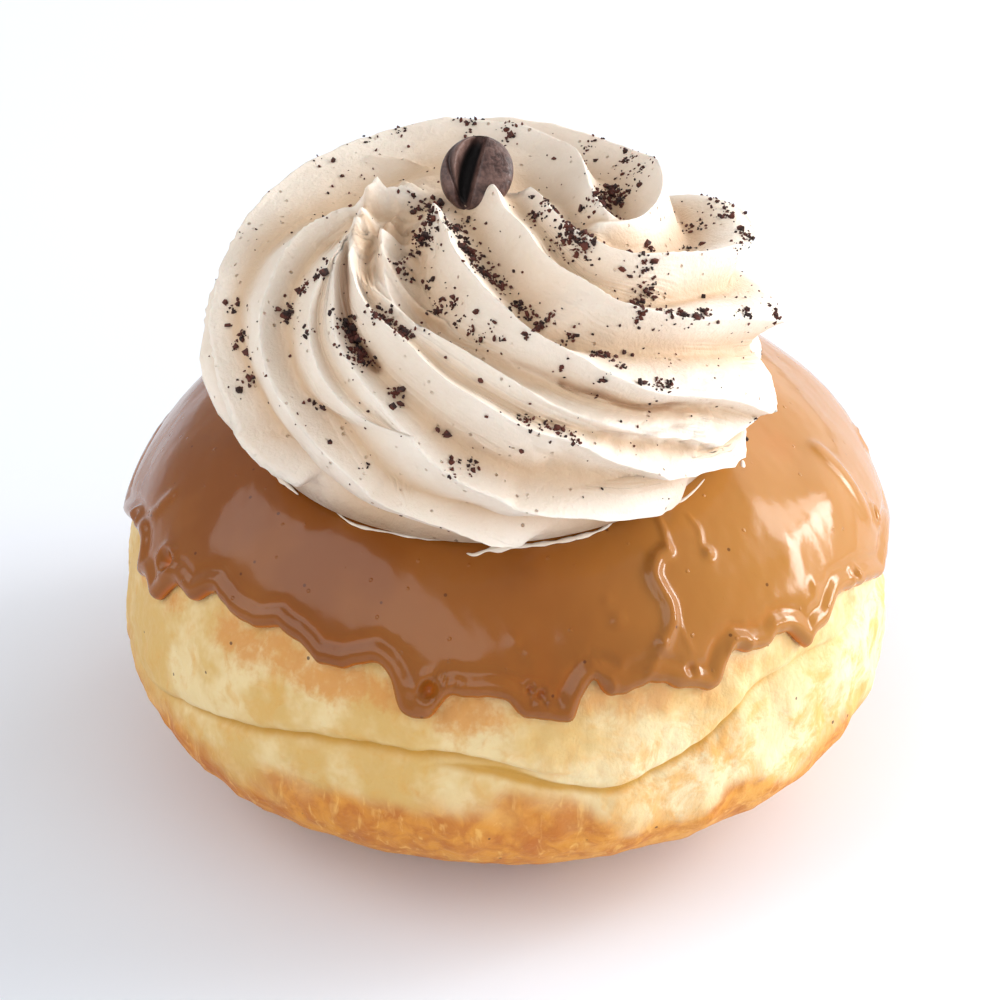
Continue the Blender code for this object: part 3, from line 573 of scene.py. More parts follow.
def build_bun():
    profile = bun_profile(0.0)
    length = travelled(profile)
    crowded = travelled(profile, lambda height: PLAIN_CROWDING + CREASE_CROWDING * bell(
        (height - CREASE_LEVEL) / CREASE_BAND))
    wanted = np.linspace(0.0, crowded[-1], BUN_ROWS + 1)
    guide_row = np.argmin(np.abs(np.interp(wanted, crowded, profile[:, 1]) - CREASE_LEVEL))
    row_way = np.interp(wanted, crowded, length)
    base_way = length[np.argmax(profile[:, 1] <= 0.0)]
    corner_row = np.argmin(np.abs(row_way - base_way))
    row_way[corner_row] = base_way
    guide_way = row_way[guide_row]
    guide_level = np.interp(guide_way, length, profile[:, 1])

    def place(column, row):
        angle = turned(column, BUN_COLUMNS)
        main_level, main_strength = crease_course(angle, MAIN_CREASE)
        second_level, second_strength = crease_course(angle, SECOND_CREASE)
        share = (main_strength + 0.05) / (main_strength + second_strength + 0.1)
        shift = share * main_level + (1.0 - share) * second_level - guide_level
        near = bell((row_way[row] - guide_way) / GUIDE_BAND)
        way = row_way[row] - shift * near * (row < corner_row)
        radius = np.interp(way, length, profile[:, 0])
        height = np.interp(way, length, profile[:, 1])
        inset = crease_inset(height - main_level, main_strength)
        inset += crease_inset(height - second_level, second_strength)
        low_level, low_strength = crease_course(angle, LOW_CREASE)
        inset += LOW_CREASE_SHARE * crease_inset(height - low_level, low_strength)
        inset *= smooth(height, *CREASE_FROM) * smooth(height, *SIDE_END)
        height = np.where(row >= corner_row, 0.0, height)
        points = swollen(radius - inset, angle, height)
        skin = roughened(0.0, points, BUN_WAVES)
        skin *= smooth(height, *WAVES_FROM) * smooth(height, *SIDE_END)
        points[:, :2] *= (1.0 - skin / BUN_RADIUS)[:, None]
        uneven = roughened(0.0, points, BROWN_WAVES)
        brown = smooth(ring(BROWN_EDGE, angle) + uneven - height, *BROWN_SOFTNESS)
        # depth of the creases, which the finish also paints as shade
        fold = np.clip(inset / CREASE_DEPTH, 0.0, 1.0)
        gold = np.zeros(len(points))
        for turn, level, spread in GOLD_PATCHES:
            side = np.interp(-level, -profile[:, 1], profile[:, 0])
            centre = swollen(np.array([side]), np.radians([turn]), np.array([float(level)]))
            gold += mound(points, centre, spread)
        # the side facing the light on the right: painted lighter as a highlight, and mottled with
        # gold
        lit_side_and_mottling = smooth(np.cos(angle - LIT_AND_MOTTLED_SIDE), 0.3, 0.95)
        lit_side_and_mottling *= LIT_AND_MOTTLED_ABOVE + (1.0 - LIT_AND_MOTTLED_ABOVE) * smooth(height, *LIT_AND_MOTTLED_UPPER)
        return points, {"brown": brown, "fold": fold, "gold": np.minimum(gold, 1.0),
                        "lit_side_and_mottling": lit_side_and_mottling}

    return closed_skin("bun_skin", BUN_COLUMNS, BUN_ROWS, place)


def glaze_length(angle):
    """Way from the peak down the bun to the edge of the glaze."""
    profile = bun_profile(0.0)
    upper = profile[profile[:, 1] > BUN_EQUATOR]
    length = travelled(upper)
    return np.interp(-ring(GLAZE_EDGE, angle), -upper[:, 1], length)


def glaze_height(away):
    """Thickness of the glaze at a distance in mm from its edge: a rolled rim, a dip, the body."""
    rim = GLAZE_RIM * bell((away - GLAZE_RIM_BACK) / GLAZE_RIM_SPREAD)
    dip = GLAZE_DIP * bell((away - GLAZE_DIP_BACK) / GLAZE_DIP_SPREAD)
    inner = 1.0 - np.clip(away / GLAZE_ROUNDING, 0.0, 1.0)
    return (GLAZE_THICKNESS + rim - dip) * np.sqrt(np.clip(1.0 - inner * inner, 0.0, 1.0))


def glaze_marks(points):
    """Holes, blobs and runs in the glaze, in mm above its even surface."""
    total = np.zeros(len(points))
    for turn, way, radius, depth in GLAZE_HOLES:
        centre = over_bun(np.radians([turn]), np.array([way]), GLAZE_THICKNESS)
        away = np.linalg.norm(points - centre, axis=1) / radius
        total -= depth * bell(away)
        total += HOLE_RING * depth * bell((away - HOLE_RING_REACH) / HOLE_RING_SPREAD)
    for turn, way, radius, height in GLAZE_BLOBS:
        centre = over_bun(np.radians([turn]), np.array([way]), GLAZE_THICKNESS)
        total += height * mound(points, centre, radius)
    for width, height, course in GLAZE_RUNS:
        turn, way = along(course, len(course) * RUN_STEPS)
        chain = over_bun(np.radians(turn), way, GLAZE_THICKNESS)
        total += height / (1.0 + (nearest(points, chain) / width) ** 4)
    return total


def over_bun(angle, way, grow):
    """Point at a way along the bun from its peak and a height above it."""
    profile = bun_profile(0.0)
    length = travelled(profile)

    def on_profile(at):
        return np.stack([np.interp(at, length, profile[:, side]) for side in (0, 1)])

    out, down = on_profile(way + SLOPE_REACH) - on_profile(way - SLOPE_REACH)
    size = np.hypot(out, down)
    radius, height = on_profile(way)
    radius = radius - grow * down / size
    height = height + grow * out / size
    return swollen(np.where(way < 1e-6, 0.0, radius), angle, height)


def build_glaze():
    body_rows, rim_rows, under_rows = GLAZE_ROWS
    body = np.linspace(0.0, 1.0, body_rows + 1) ** GLAZE_CROWDING * RIM_FROM
    rolled = 1.0 - (1.0 - np.linspace(0.0, 1.0, rim_rows + 1)[1:]) ** 2
    rolled = RIM_FROM + (1.0 - RIM_FROM) * rolled
    under = np.linspace(1.0, 0.0, under_rows + 1)[1:]
    shares = np.concatenate([body, rolled, under])
    outside = np.arange(len(shares)) <= body_rows + rim_rows

    def place(column, row):
        angle = turned(column, GLAZE_COLUMNS)
        rim_line = np.stack([np.cos(angle), np.sin(angle), np.zeros(len(angle))], axis=-1)
        reach = roughened(glaze_length(angle), rim_line * BUN_RADIUS, GLAZE_EDGE_WAVES)
        way = reach * shares[row]
        points = over_bun(angle, way, GAP + GLAZE_THICKNESS)
        away = reach - way
        rim = np.flatnonzero(row == body_rows + rim_rows)
        rim = rim[np.argsort(column[rim])]
        close = np.flatnonzero((away < EDGE_BAND) & outside[row])
        edge = points[np.append(rim, rim[0])]
        away[close] = np.minimum(away[close], nearest(points[close], edge))
        uneven = roughened(0.0, points, GLAZE_WAVES) * smooth(away, *GLAZE_WAVES_FROM)
        relief = (glaze_marks(points) + uneven) * smooth(away, *GLAZE_MARKS_FROM)
        thick = np.maximum(glaze_height(away) + relief, 0.0)
        points = over_bun(angle, way, GAP + np.where(outside[row], thick, 0.0))
        # painted highlight: glaze paler on the side facing the light, away from the peak
        pale = smooth(np.cos(angle - GLAZE_LIGHT_SIDE), 0.0, 0.9) * smooth(shares[row], 0.2, 0.6)
        return points, {"thin": smooth(thick, 1.0, 0.3) * outside[row], "pale": pale}

    return closed_skin("glaze_skin", GLAZE_COLUMNS, len(shares) - 1, place)


def glaze_top(x, y):
    """Height of the upper side of the glaze over a place in plan."""
    profile = bun_profile(GAP + GLAZE_THICKNESS)
    upper = profile[profile[:, 1] > BUN_EQUATOR]
    return np.interp(np.hypot(x, y), upper[:, 0], upper[:, 1])


# ---- form of the cream swirl -----------------------------------------------------------------
def dome(angle, share):
    """Envelope of the swirl: peak at share 0, widest at SWIRL_WIDEST_SHARE, foot at share 1."""
    angle, share = np.broadcast_arrays(np.asarray(angle, float), np.asarray(share, float))
    upper = np.clip(share / SWIRL_WIDEST_SHARE, 0.0, 1.0) * math.pi / 2.0
    lower = np.clip((share - SWIRL_WIDEST_SHARE) / (1.0 - SWIRL_WIDEST_SHARE), 0.0, 1.0)
    lower = lower * math.pi / 2.0
    foot = SWIRL_FOOT + SWIRL_FOOT_FRONT * np.sin(angle)
    foot_height = GAP + glaze_top(SWIRL_X + foot * np.cos(angle), SWIRL_Y + foot * np.sin(angle))
    radius = np.where(
        share <= SWIRL_WIDEST_SHARE,
        SWIRL_RADIUS * np.sin(upper) ** (2.0 / SWIRL_POWER),
        foot + (SWIRL_RADIUS - foot) * np.abs(np.cos(lower)) ** (2.0 / SWIRL_FOOT_POWER))
    height = np.where(
        share <= SWIRL_WIDEST_SHARE,
        SWIRL_WIDEST + SWIRL_RISE * np.abs(np.cos(upper)) ** (2.0 / SWIRL_POWER),
        SWIRL_WIDEST - (SWIRL_WIDEST - foot_height) * np.sin(lower) ** (2.0 / SWIRL_FOOT_POWER))
    return np.stack([SWIRL_X + radius * np.cos(angle), SWIRL_Y + radius * np.sin(angle), height],
                    axis=-1)


def on_dome(degrees, share):
    return dome(math.radians(degrees), share)


def dome_outward(angle, share):
    """Unit normal of the envelope."""
    before = dome(angle, np.maximum(share - SHARE_STEP, SHARE_STEP / 2.0))
    down = dome(angle, np.minimum(share + SHARE_STEP, 1.0)) - before
    around = np.stack([-np.sin(angle), np.cos(angle), np.zeros_like(angle)], axis=-1)
    normal = np.cross(down, around)
    return normal / (np.linalg.norm(normal, axis=-1, keepdims=True) + 1e-9)


def crest_course(table):
    """A crest as angles in degrees and shares, closely spaced."""
    return along(table, (len(table) - 1) * FLUTE_STEPS + 1)


def crest_line(table):
    """A crest as a chain of points on the dome."""
    angle, share = crest_course(table)
    return dome(np.radians(angle), share)


def nearest(points, chain):
    """Distance of each point from a chain of straight pieces."""
    best = np.full(len(points), np.inf)
    for start, end in zip(chain[:-1], chain[1:]):
        side = end - start
        part = np.clip((points - start) @ side / max(side @ side, 1e-9), 0.0, 1.0)
        gap = points - start - part[:, None] * side
        best = np.minimum(best, np.einsum("ij,ij->i", gap, gap))
    return np.sqrt(best)


def flute_depth(points, angle, share):
    """How far the cream lies below the dome: nothing on a crest, deepest between two. On the
    right side the troughs crowd up under the next ridge, on the left behind the last one."""
    count = len(CRESTS)
    drops = np.array([drop for _, drop, _ in CRESTS])
    last_shares = np.array([table[-1][1] for _, _, table in CRESTS])
    away = np.stack([nearest(points, crest_line(table)) for _, _, table in CRESTS], axis=1)
    # a crest that runs into the next one above the foot fades away past its end
    merged = np.where(last_shares < FOOT_SHARE, END_FADE, 0.0)
    away = away + merged * smooth(share[:, None] - last_shares, *END_SHARES)
    order = np.argsort(away, axis=1)
    picked = np.arange(len(points))
    first = away[picked, order[:, 0]]
    # the other crest is the nearest one on the side of the first on which the point lies
    turns = crest_angles(share)[:count].T
    side = np.sin(angle[:, None] - turns) > 0.0
    same = side == side[picked, order[:, 0]][:, None]
    same[picked, order[:, 0]] = True
    facing = np.where(same, np.inf, away)
    other = np.argmin(facing, axis=1)
    plain = (share < SIDES_FROM) | ~np.isfinite(facing[picked, other])
    other = np.where(plain, order[:, 1], other)
    second = away[picked, other]
    ended = smooth(share - last_shares[order[:, 0]], 0.0, PAST_END)
    second = second + (away[picked, order[:, 1]] - second) * ended
    spacing = first + second + 1e-6
    base = (drops[order[:, 0]] * second + drops[other] * first) / spacing
    depth = FLUTE_DEPTH * (1.0 - bell(spacing / FLUTE_SPACING))
    for turn, level, spread, lost in SHALLOWS:
        depth *= 1.0 - lost * mound(points, on_dome(turn, level), spread)
    depth *= 1.0 - FOOT_LOSS * smooth(share, FOOT_FROM, 1.0)
    lower = np.where(plain, (order[:, 0] + 1) % count == other, side[picked, order[:, 0]])
    lean = FLUTE_LEAN * smooth(np.cos(angle - LEAN_SIDE), 0.2, 0.7) * smooth(share, *LEAN_FROM)
    back = BACK_LEAN * smooth(np.cos(angle - BACK_LEAN_SIDE), 0.45, 0.8)
    back *= smooth(share, *BACK_LEAN_FROM) * smooth(share, *BACK_LEAN_END)
    way = np.where(lower, first, second) / spacing
    way = way ** (1.0 + lean) * (1.0 + back) / (1.0 + back * way)
    wave = np.sin(math.pi * way)
    hollow = np.sqrt(wave * wave + CREST_ROUNDING**2) - CREST_ROUNDING
    keep = smooth(last_shares[order[:, 0]] - share, *EDGE_END)
    return base + depth * hollow, hollow, first, keep


def dented(points):
    """How far the dents of the dome reach below it."""
    total = np.zeros(len(points))
    for turn, level, spread, depth in DENTS:
        total += depth * mound(points, on_dome(turn, level), spread)
    return total


def torn_relief(points):
    """Roughness of the torn places: swellings with sharp creases between them."""
    total = np.zeros(len(points))
    for turn, level, spread, height, span in TORN:
        rough = TORN_SWELL - TORN_CREASE * np.abs(waves(points, span, TORN_SEED))
        total += height * rough * mound(points, on_dome(turn, level), spread)
    return total


def grooved(points):
    """How deep the grooves are; the raised seams count below nothing."""
    total = np.zeros(len(points))
    for width, depth, course in GROOVES:
        total += depth * bell(nearest(points, crest_line(course)) / width)
    return total


def fine_relief(points, first, keep):
    """Nicks and a thin raised edge along the crests, and the slight unevenness of the cream."""
    nicks = NICK_DEPTH * np.exp(-first / NICK_REACH) * waves(points, NICK_SPAN, NICK_SEED)
    edge = EDGE_HEIGHT * bell(first / EDGE_WIDTH)
    return roughened((nicks - edge) * keep, points, CREAM_WAVES)


def swirl_points(angle, share):
    """The surface of the cream above its foot, and its tones."""
    points = dome(angle, share)
    sink, hollow, first, keep = flute_depth(points, angle, share)
    cut = grooved(points)
    keep = keep * smooth(share, *EDGE_FROM)
    sink = sink + dented(points) + torn_relief(points) + fine_relief(points, first, keep) + cut
    points = points - sink[:, None] * dome_outward(angle, share)
    seat = glaze_top(points[:, 0], points[:, 1]) + SWIRL_SEAT_GAP
    points[:, 2] = np.maximum(points[:, 2], seat)
    return points, hollow, first, cut


def crest_angles(share):
    """Angles of all crests at a share, in order round the dome, the first one again at the end."""
    found = []
    for index, (_, _, table) in enumerate(CRESTS):
        if index == len(CRESTS) - 1:
            table = table[LAST_CREST_START:]
        angle, level = crest_course(table)
        turn = np.interp(share, level, angle)
        if found:
            turn = np.maximum(turn, found[-1] + CREST_APART)
        found.append(turn)
    found.append(np.maximum(found[0] + 360.0, found[-1] + CREST_APART))
    return np.radians(np.array(found))


def build_swirl():
    above = SWIRL_ROWS
    rows = SWIRL_ROWS + SWIRL_UNDER_ROWS
    starts = np.concatenate([[0], np.cumsum([columns for columns, _, _ in CRESTS])])
    fine = np.linspace(0.0, 1.0, SHARE_STEPS)
    way = travelled(dome(0.0, fine))
    row_share = np.interp(np.linspace(0.0, way[-1], above + 1), way, fine)
    angles = crest_angles(row_share)
    streaks = np.random.default_rng(STREAK_SEED).normal(size=int(starts[-1]))
    streaks = streaks + 0.6 * np.roll(streaks, 1) + 0.3 * np.roll(streaks, 2)
    streaks[starts[:-1]] = 0.0

    def place(column, row):
        level = np.minimum(row, above)
        gap = np.searchsorted(starts, column, side="right") - 1
        part = (column - starts[gap]) / (starts[gap + 1] - starts[gap])
        angle = angles[gap, level] * (1.0 - part) + angles[gap + 1, level] * part
        share = row_share[level]
        points, hollow, first, cut = swirl_points(angle, share)
        patches = smooth(waves(points, *STREAK_PATCHES), -0.6, 0.8)
        strength = STREAK_DEPTH * hollow * patches * smooth(share, *STREAKS_FROM)
        points -= (strength * streaks[column])[:, None] * dome_outward(angle, share)
        inward = np.clip((row - above) / SWIRL_UNDER_ROWS, 0.0, 1.0)
        under = points.copy()
        under[:, 0] = SWIRL_X + (points[:, 0] - SWIRL_X) * (1.0 - inward)
        under[:, 1] = SWIRL_Y + (points[:, 1] - SWIRL_Y) * (1.0 - inward)
        under[:, 2] = glaze_top(under[:, 0], under[:, 1]) + SWIRL_SEAT_GAP
        points = np.where((row >= above)[:, None], under, points)
        # tones: trough depth, nearness of a crest and groove depth, painted by the finish as shade
        # in troughs and grooves and as a highlight on the crests
        return points, {"hollow": hollow, "crest": np.exp(-first / CREST_HIGHLIGHT_REACH),
                        "groove": np.clip(cut, 0.0, 1.0)}

    return closed_skin("swirl_skin", int(starts[-1]), rows, place)


def build_smears():
    heap = bmesh.new()
    for half_width, course in SMEARS:
        turn, way = along(course, SMEAR_ROWS + 1)
        chain = over_bun(np.radians(turn), way, GAP + GLAZE_THICKNESS)
        outward = over_bun(np.radians(turn), way, GAP + GLAZE_THICKNESS + 1.0) - chain
        aside = np.cross(np.gradient(chain, axis=0), outward)
        aside /= np.linalg.norm(aside, axis=1, keepdims=True)
        width = half_width * np.sqrt(np.sin(math.pi * np.linspace(0.02, 0.98, SMEAR_ROWS + 1)))
        width = width * roughened(1.0, chain, SMEAR_WAVES)

        def place(column, row):
            round_way = turned(column, SMEAR_COLUMNS)
            across = (width[row] * np.cos(round_way))[:, None] * aside[row]
            up = (width[row] * SMEAR_HEIGHT * np.sin(round_way))[:, None] * outward[row]
            return chain[row] + across + up, {}

        strand = closed_skin("smear", SMEAR_COLUMNS, SMEAR_ROWS, place)
        heap.from_mesh(strand.data)
        bpy.data.meshes.remove(strand.data)
    mesh = bpy.data.meshes.new("cream_smears")
    bmesh.ops.recalc_face_normals(heap, faces=heap.faces)
    heap.to_mesh(mesh)
    heap.free()
    return finished("cream_smears", mesh)


# ---- bean and ground coffee ------------------------------------------------------------------
def bean_frame():
    """Turns the bean's own axes (length, width, face) into place."""
    face = Vector(BEAN_NORMAL).normalized()
    length = Vector(BEAN_AXIS)
    length = (length - face * length.dot(face)).normalized()
    width = face.cross(length)
    turn = Matrix((length, width, face)).transposed().to_4x4()
    return Matrix.Translation(Vector(BEAN_CENTRE)) @ turn


def build_bean():
    def place(column, row):
        angle = turned(column, BEAN_COLUMNS)
        crowd = angle - BEAN_CROWDING * np.sin(angle)
        polar = row * math.pi / BEAN_ROWS
        length = np.cos(polar)
        across = -np.sin(polar) * np.sin(crowd)
        face = np.sin(polar) * np.cos(crowd)
        x = length * (BEAN_LENGTH / 2.0)
        y = across * (BEAN_WIDTH / 2.0)
        front = BEAN_FACE * np.sign(face) * np.abs(face) ** BEAN_FACE_POWER
        z = np.where(face > 0.0, front * np.sqrt(np.abs(np.sin(polar))), BEAN_BACK * face)
        middle = FURROW_SIDE + FURROW_SLANT * length + FURROW_BEND * length * length
        away = (y - middle) / (FURROW_WIDTH * (1.0 - FURROW_TAPER * length * length))
        cut = np.where(away < 0.0, np.exp(-(away**4)), np.exp(-(np.abs(away / FURROW_LIP) ** 2.5)))
        ends = np.where(face > 0.0, 1.0 - length**4, 0.0)
        cut = cut * ends
        arch = 1.0 - FOLD_ARCH * (length - FOLD_HIGH) ** 2
        fold = ends * bell((y - middle - FOLD_SIDE * arch) / FOLD_WIDTH)
        lobe = ends * bell((y - middle - LOBE_SIDE * arch) / LOBE_WIDTH)
        sink = FURROW_DEPTH * cut + FOLD_DEPTH * fold - LOBE_HEIGHT * lobe
        points = np.stack([x, y, z - sink], axis=-1)
        turn = np.array(bean_frame())
        return points @ turn[:3, :3].T + turn[:3, 3], {"furrow": cut, "fold": fold, "lobe": lobe}

    return closed_skin("bean_skin", BEAN_COLUMNS, BEAN_ROWS, place)


def build_ground():
    rng = np.random.default_rng(GROUND_SEED)
    angle, share, size = [], [], []
    for spread, count, places in HEAPS:
        for turn, level in places:
            step = rng.normal(0.0, spread * 0.7, (count, 2))
            step *= rng.uniform(0.3, 1.5, (count, 1))
            reach = np.linalg.norm(on_dome(turn, level)[:2] - (SWIRL_X, SWIRL_Y))
            angle.append(math.radians(turn) + step[:, 0] / max(reach, LEAST_REACH))
            share.append(np.clip(level + step[:, 1] / DOME_WAY, *HEAP_SHARES))
            size.append(GRAIN_SIZE * np.exp(rng.normal(0.0, 0.45, count)))
    angle.append(rng.uniform(0.0, 2.0 * math.pi, LOOSE_GRAINS))
    share.append(np.clip(rng.beta(1.3, 1.6, LOOSE_GRAINS), *LOOSE_SHARES))
    size.append(0.8 * GRAIN_SIZE * np.exp(rng.normal(0.0, 0.4, LOOSE_GRAINS)))
    angle, share, size = np.concatenate(angle), np.concatenate(share), np.concatenate(size)
    large = np.array(LARGE_GRAINS)
    angle = np.append(angle, np.radians(large[:, 0]))
    share = np.append(share, large[:, 1])
    size = np.append(np.clip(size, *GRAIN_LIMITS), large[:, 2])
    spots = swirl_points(angle, share)[0]
    kinds = []
    for kind in range(GRAIN_KINDS):
        shape = bmesh.new()
        bmesh.ops.create_icosphere(shape, subdivisions=1, radius=1.0)
        for vertex in shape.verts:
            vertex.co *= rng.uniform(0.6, 1.25)
        bmesh.ops.scale(shape, vec=Vector(rng.uniform(0.55, 1.2, 3)), verts=shape.verts)
        mesh = bpy.data.meshes.new("grain")
        shape.to_mesh(mesh)
        shape.free()
        kinds.append(mesh)
    heap = bmesh.new()
    centre = np.array((SWIRL_X, SWIRL_Y, CREAM_MIDDLE))
    for spot, radius in zip(spots, size):
        outward = (spot - centre) / np.linalg.norm(spot - centre)
        place = Vector((spot + outward * radius * GRAIN_PROUD) * METRE)
        turn = Vector(rng.normal(size=3)).normalized().to_track_quat("Z", "Y").to_matrix().to_4x4()
        grain = kinds[rng.integers(GRAIN_KINDS)].copy()
        grain.transform(Matrix.Translation(place) @ turn @ Matrix.Scale(radius * METRE, 4))
        heap.from_mesh(grain)
        bpy.data.meshes.remove(grain)
    for kind in kinds:
        bpy.data.meshes.remove(kind)
    mesh = bpy.data.meshes.new("ground_coffee")
    heap.to_mesh(mesh)
    heap.free()
    return finished("ground_coffee", mesh)


# ---- finishes --------------------------------------------------------------------------------
class Wire:
    """One output of a finish's nodes; sums and products of wires add Math nodes."""

    def __init__(self, finish, socket):
        self.finish = finish
        self.socket = socket

    def maths(self, operation, first, second):
        return self.finish.node("ShaderNodeMath", {"operation": operation}, {0: first, 1: second})

    def __add__(self, other):
        return self.maths("ADD", self, other)

    def __radd__(self, other):
        return self.maths("ADD", other, self)

    def __sub__(self, other):
        return self.maths("SUBTRACT", self, other)

    def __rsub__(self, other):
        return self.maths("SUBTRACT", other, self)

    def __mul__(self, other):
        return self.maths("MULTIPLY", self, other)

    def __rmul__(self, other):
        return self.maths("MULTIPLY", other, self)


class Finish:
    """A material, its object coordinates, and the one way its nodes are made."""

    def __init__(self, name):
        self.material = bpy.data.materials.new(name)
        self.material.use_nodes = True
        self.tree = self.material.node_tree
        self.shader = self.tree.nodes["Principled BSDF"]
        self.place = self.node("ShaderNodeTexCoord", {}, {}, "Object")

    def node(self, kind, settings, sockets, output=0):
        made = self.tree.nodes.new(kind)
        for key, value in settings.items():
            setattr(made, key, value)
        for key, value in sockets.items():
            self.feed(made.inputs[key], value)
        return Wire(self, made.outputs[output])

    def feed(self, socket, value):
        if isinstance(value, Wire):
            self.tree.links.new(value.socket, socket)
        else:
            socket.default_value = value

    def tone(self, name):
        return self.node("ShaderNodeAttribute", {"attribute_name": name}, {}, "Fac")

    def noise(self, span, detail=3.0, rough=0.55, distortion=0.0):
        """Noise with features about span mm wide."""
        return self.node("ShaderNodeTexNoise", {},
                         {"Vector": self.place, "Scale": 1.0 / (span * METRE), "Detail": detail,
                          "Roughness": rough, "Distortion": distortion})

    def cells(self, span):
        return self.node("ShaderNodeTexVoronoi", {},
                         {"Vector": self.place, "Scale": 1.0 / (span * METRE)}, "Distance")

    def step(self, value, low, high):
        """0 below low, 1 above high, soft between."""
        return self.node("ShaderNodeMapRange", {"interpolation_type": "SMOOTHSTEP"},
                         {"Value": value, "From Min": low, "From Max": high})

    def mix(self, share, first, second):
        return self.node("ShaderNodeMix", {"data_type": "RGBA"},
                         {0: share, 6: first, 7: second}, 2)

    def bump(self, height, depth, below=None):
        sockets = {"Height": height, "Distance": depth * METRE, "Strength": 1.0}
        if below is not None:
            sockets["Normal"] = below
        return self.node("ShaderNodeBump", {}, sockets)

    def set(self, **values):
        for name, value in values.items():
            self.feed(self.shader.inputs[name.replace("_", " ")], value)


def srgb(red, green, blue):
    """A colour given as it shows on a screen, 0 to 255."""
    linear = [(c / 12.92 if c <= 0.04045 else ((c + 0.055) / 1.055) ** 2.4)
              for c in (red / 255.0, green / 255.0, blue / 255.0)]
    return (*linear, 1.0)


def bun_finish():
    skin = Finish("fried_dough")
    brown, fold, gold = skin.tone("brown"), skin.tone("fold"), skin.tone("gold")
    blotch = skin.noise(9.0, 4.0, 0.6)
    patch = skin.noise(3.0, 4.0, 0.6, 0.6)
    fine = skin.noise(0.7, 4.0, 0.6)
    fibre = skin.node("ShaderNodeTexNoise", {}, {
        "Vector": skin.node("ShaderNodeVectorMath", {"operation": "MULTIPLY"},
                            {0: skin.place, 1: (1.0, 1.0, 0.35)}),
        "Scale": 1.0 / (1.3 * METRE), "Detail": 3.0, "Distortion": 0.8})
    pale = skin.mix(skin.step(blotch, 0.38, 0.62), srgb(228, 203, 150), srgb(211, 172, 100))
    pale = skin.mix(skin.step(patch, 0.48, 0.72) * 0.5, pale, srgb(214, 162, 78))
    fried = skin.mix(skin.step(patch, 0.35, 0.65), srgb(216, 146, 52), srgb(190, 112, 34))
    fried = skin.mix(skin.step(blotch, 0.5, 0.7) * 0.6, fried, srgb(176, 92, 24))
    fried = skin.mix(skin.step(fibre, 0.56, 0.72) * 0.5, fried, srgb(243, 196, 112))
    colour = skin.mix(brown, pale, fried)
    rough = 1.1 * (patch - 0.5) + 0.9 * (fine - 0.5) + 0.9 * (fibre - 0.5)
    scorch = skin.step(gold + rough, 0.1, 1.1)
    colour = skin.mix(scorch * 0.9, colour, srgb(208, 144, 68))
    lit_side_and_mottling = skin.tone("lit_side_and_mottling")
    # painted highlight: the unbrowned dough on the side facing the light made paler
    colour = skin.mix(lit_side_and_mottling * (1.0 - brown) * 0.45, colour, srgb(248, 234, 198))
    mottle = skin.step(skin.noise(5.0, 5.0, 0.68, 0.5), 0.44, 0.64) * lit_side_and_mottling
    colour = skin.mix(mottle * 0.85, colour, srgb(226, 164, 78))
    # painted shade along the creases
    colour = skin.mix(skin.step(fold, 0.45, 0.9) * 0.85, colour, srgb(196, 144, 42))
    dots = skin.step(skin.cells(4.2), 0.06, 0.04)
    colour = skin.mix(dots * 0.8, colour, srgb(70, 34, 14))
    skin.set(Base_Color=colour, Roughness=0.45 + 0.3 * fine, Subsurface_Weight=0.15,
             Subsurface_Scale=0.0025,
             Normal=skin.bump(fine, 0.12, skin.bump(fibre, 0.1, skin.bump(patch, 0.25))))
    skin.shader.inputs["Subsurface Radius"].default_value = (1.0, 0.6, 0.25)
    return skin.material


def glaze_finish():
    glaze = Finish("coffee_glaze_gloss")
    thin = glaze.tone("thin")
    blotch = glaze.noise(16.0, 3.0)
    fine = glaze.noise(2.2, 3.0)
    specks = glaze.step(glaze.cells(2.6), 0.1, 0.04)
    colour = glaze.mix(glaze.step(blotch, 0.35, 0.65), srgb(144, 84, 30), srgb(131, 72, 22))
    # painted highlight: paler glaze on the side facing the light
    colour = glaze.mix(glaze.tone("pale") * 0.7, colour, srgb(188, 132, 64))
    colour = glaze.mix(thin * 0.8, colour, srgb(190, 100, 24))
    dots = glaze.step(glaze.cells(3.4), 0.075, 0.045)
    colour = glaze.mix(dots * 0.7, colour, srgb(74, 34, 14))
    ripple = glaze.noise(0.9, 2.0)
    glaze.set(Base_Color=colour, Roughness=0.1 + 0.08 * fine, Specular_IOR_Level=0.34,
              Subsurface_Weight=0.1, Subsurface_Scale=0.0015,
              Normal=glaze.bump(specks, 0.06, glaze.bump(ripple, 0.012)))
    return glaze.material


def cream_finish():
    cream = Finish("coffee_buttercream")
    hollow, crest = cream.tone("hollow"), cream.tone("crest")
    fine = cream.noise(0.6, 4.0, 0.6)
    broad = cream.noise(7.0, 3.0)
    pores = cream.cells(1.5)
    open_pores = cream.step(cream.noise(3.2, 2.0), 0.44, 0.62)
    pits = cream.step(pores, 0.16, 0.05) * open_pores
    colour = cream.mix(cream.step(broad, 0.35, 0.65), srgb(237, 223, 206), srgb(230, 213, 194))
    # painted shade: tan in the troughs between the ridges
    colour = cream.mix(hollow * hollow * 0.8, colour, srgb(200, 162, 120))
    # painted shade: brown in the grooves
    colour = cream.mix(cream.tone("groove") * 0.75, colour, srgb(160, 112, 72))
    # painted highlight along the crests
    colour = cream.mix(crest * 0.6, colour, srgb(250, 240, 226))
    # painted shade in the pits, which are also bumped in
    colour = cream.mix(pits * 0.7, colour, srgb(178, 138, 98))
    cream.set(Base_Color=colour, Roughness=0.42 + 0.2 * fine, Subsurface_Weight=0.06,
              Subsurface_Scale=0.001,
              Normal=cream.bump(pits, -0.3, cream.bump(fine, 0.16)))
    return cream.material


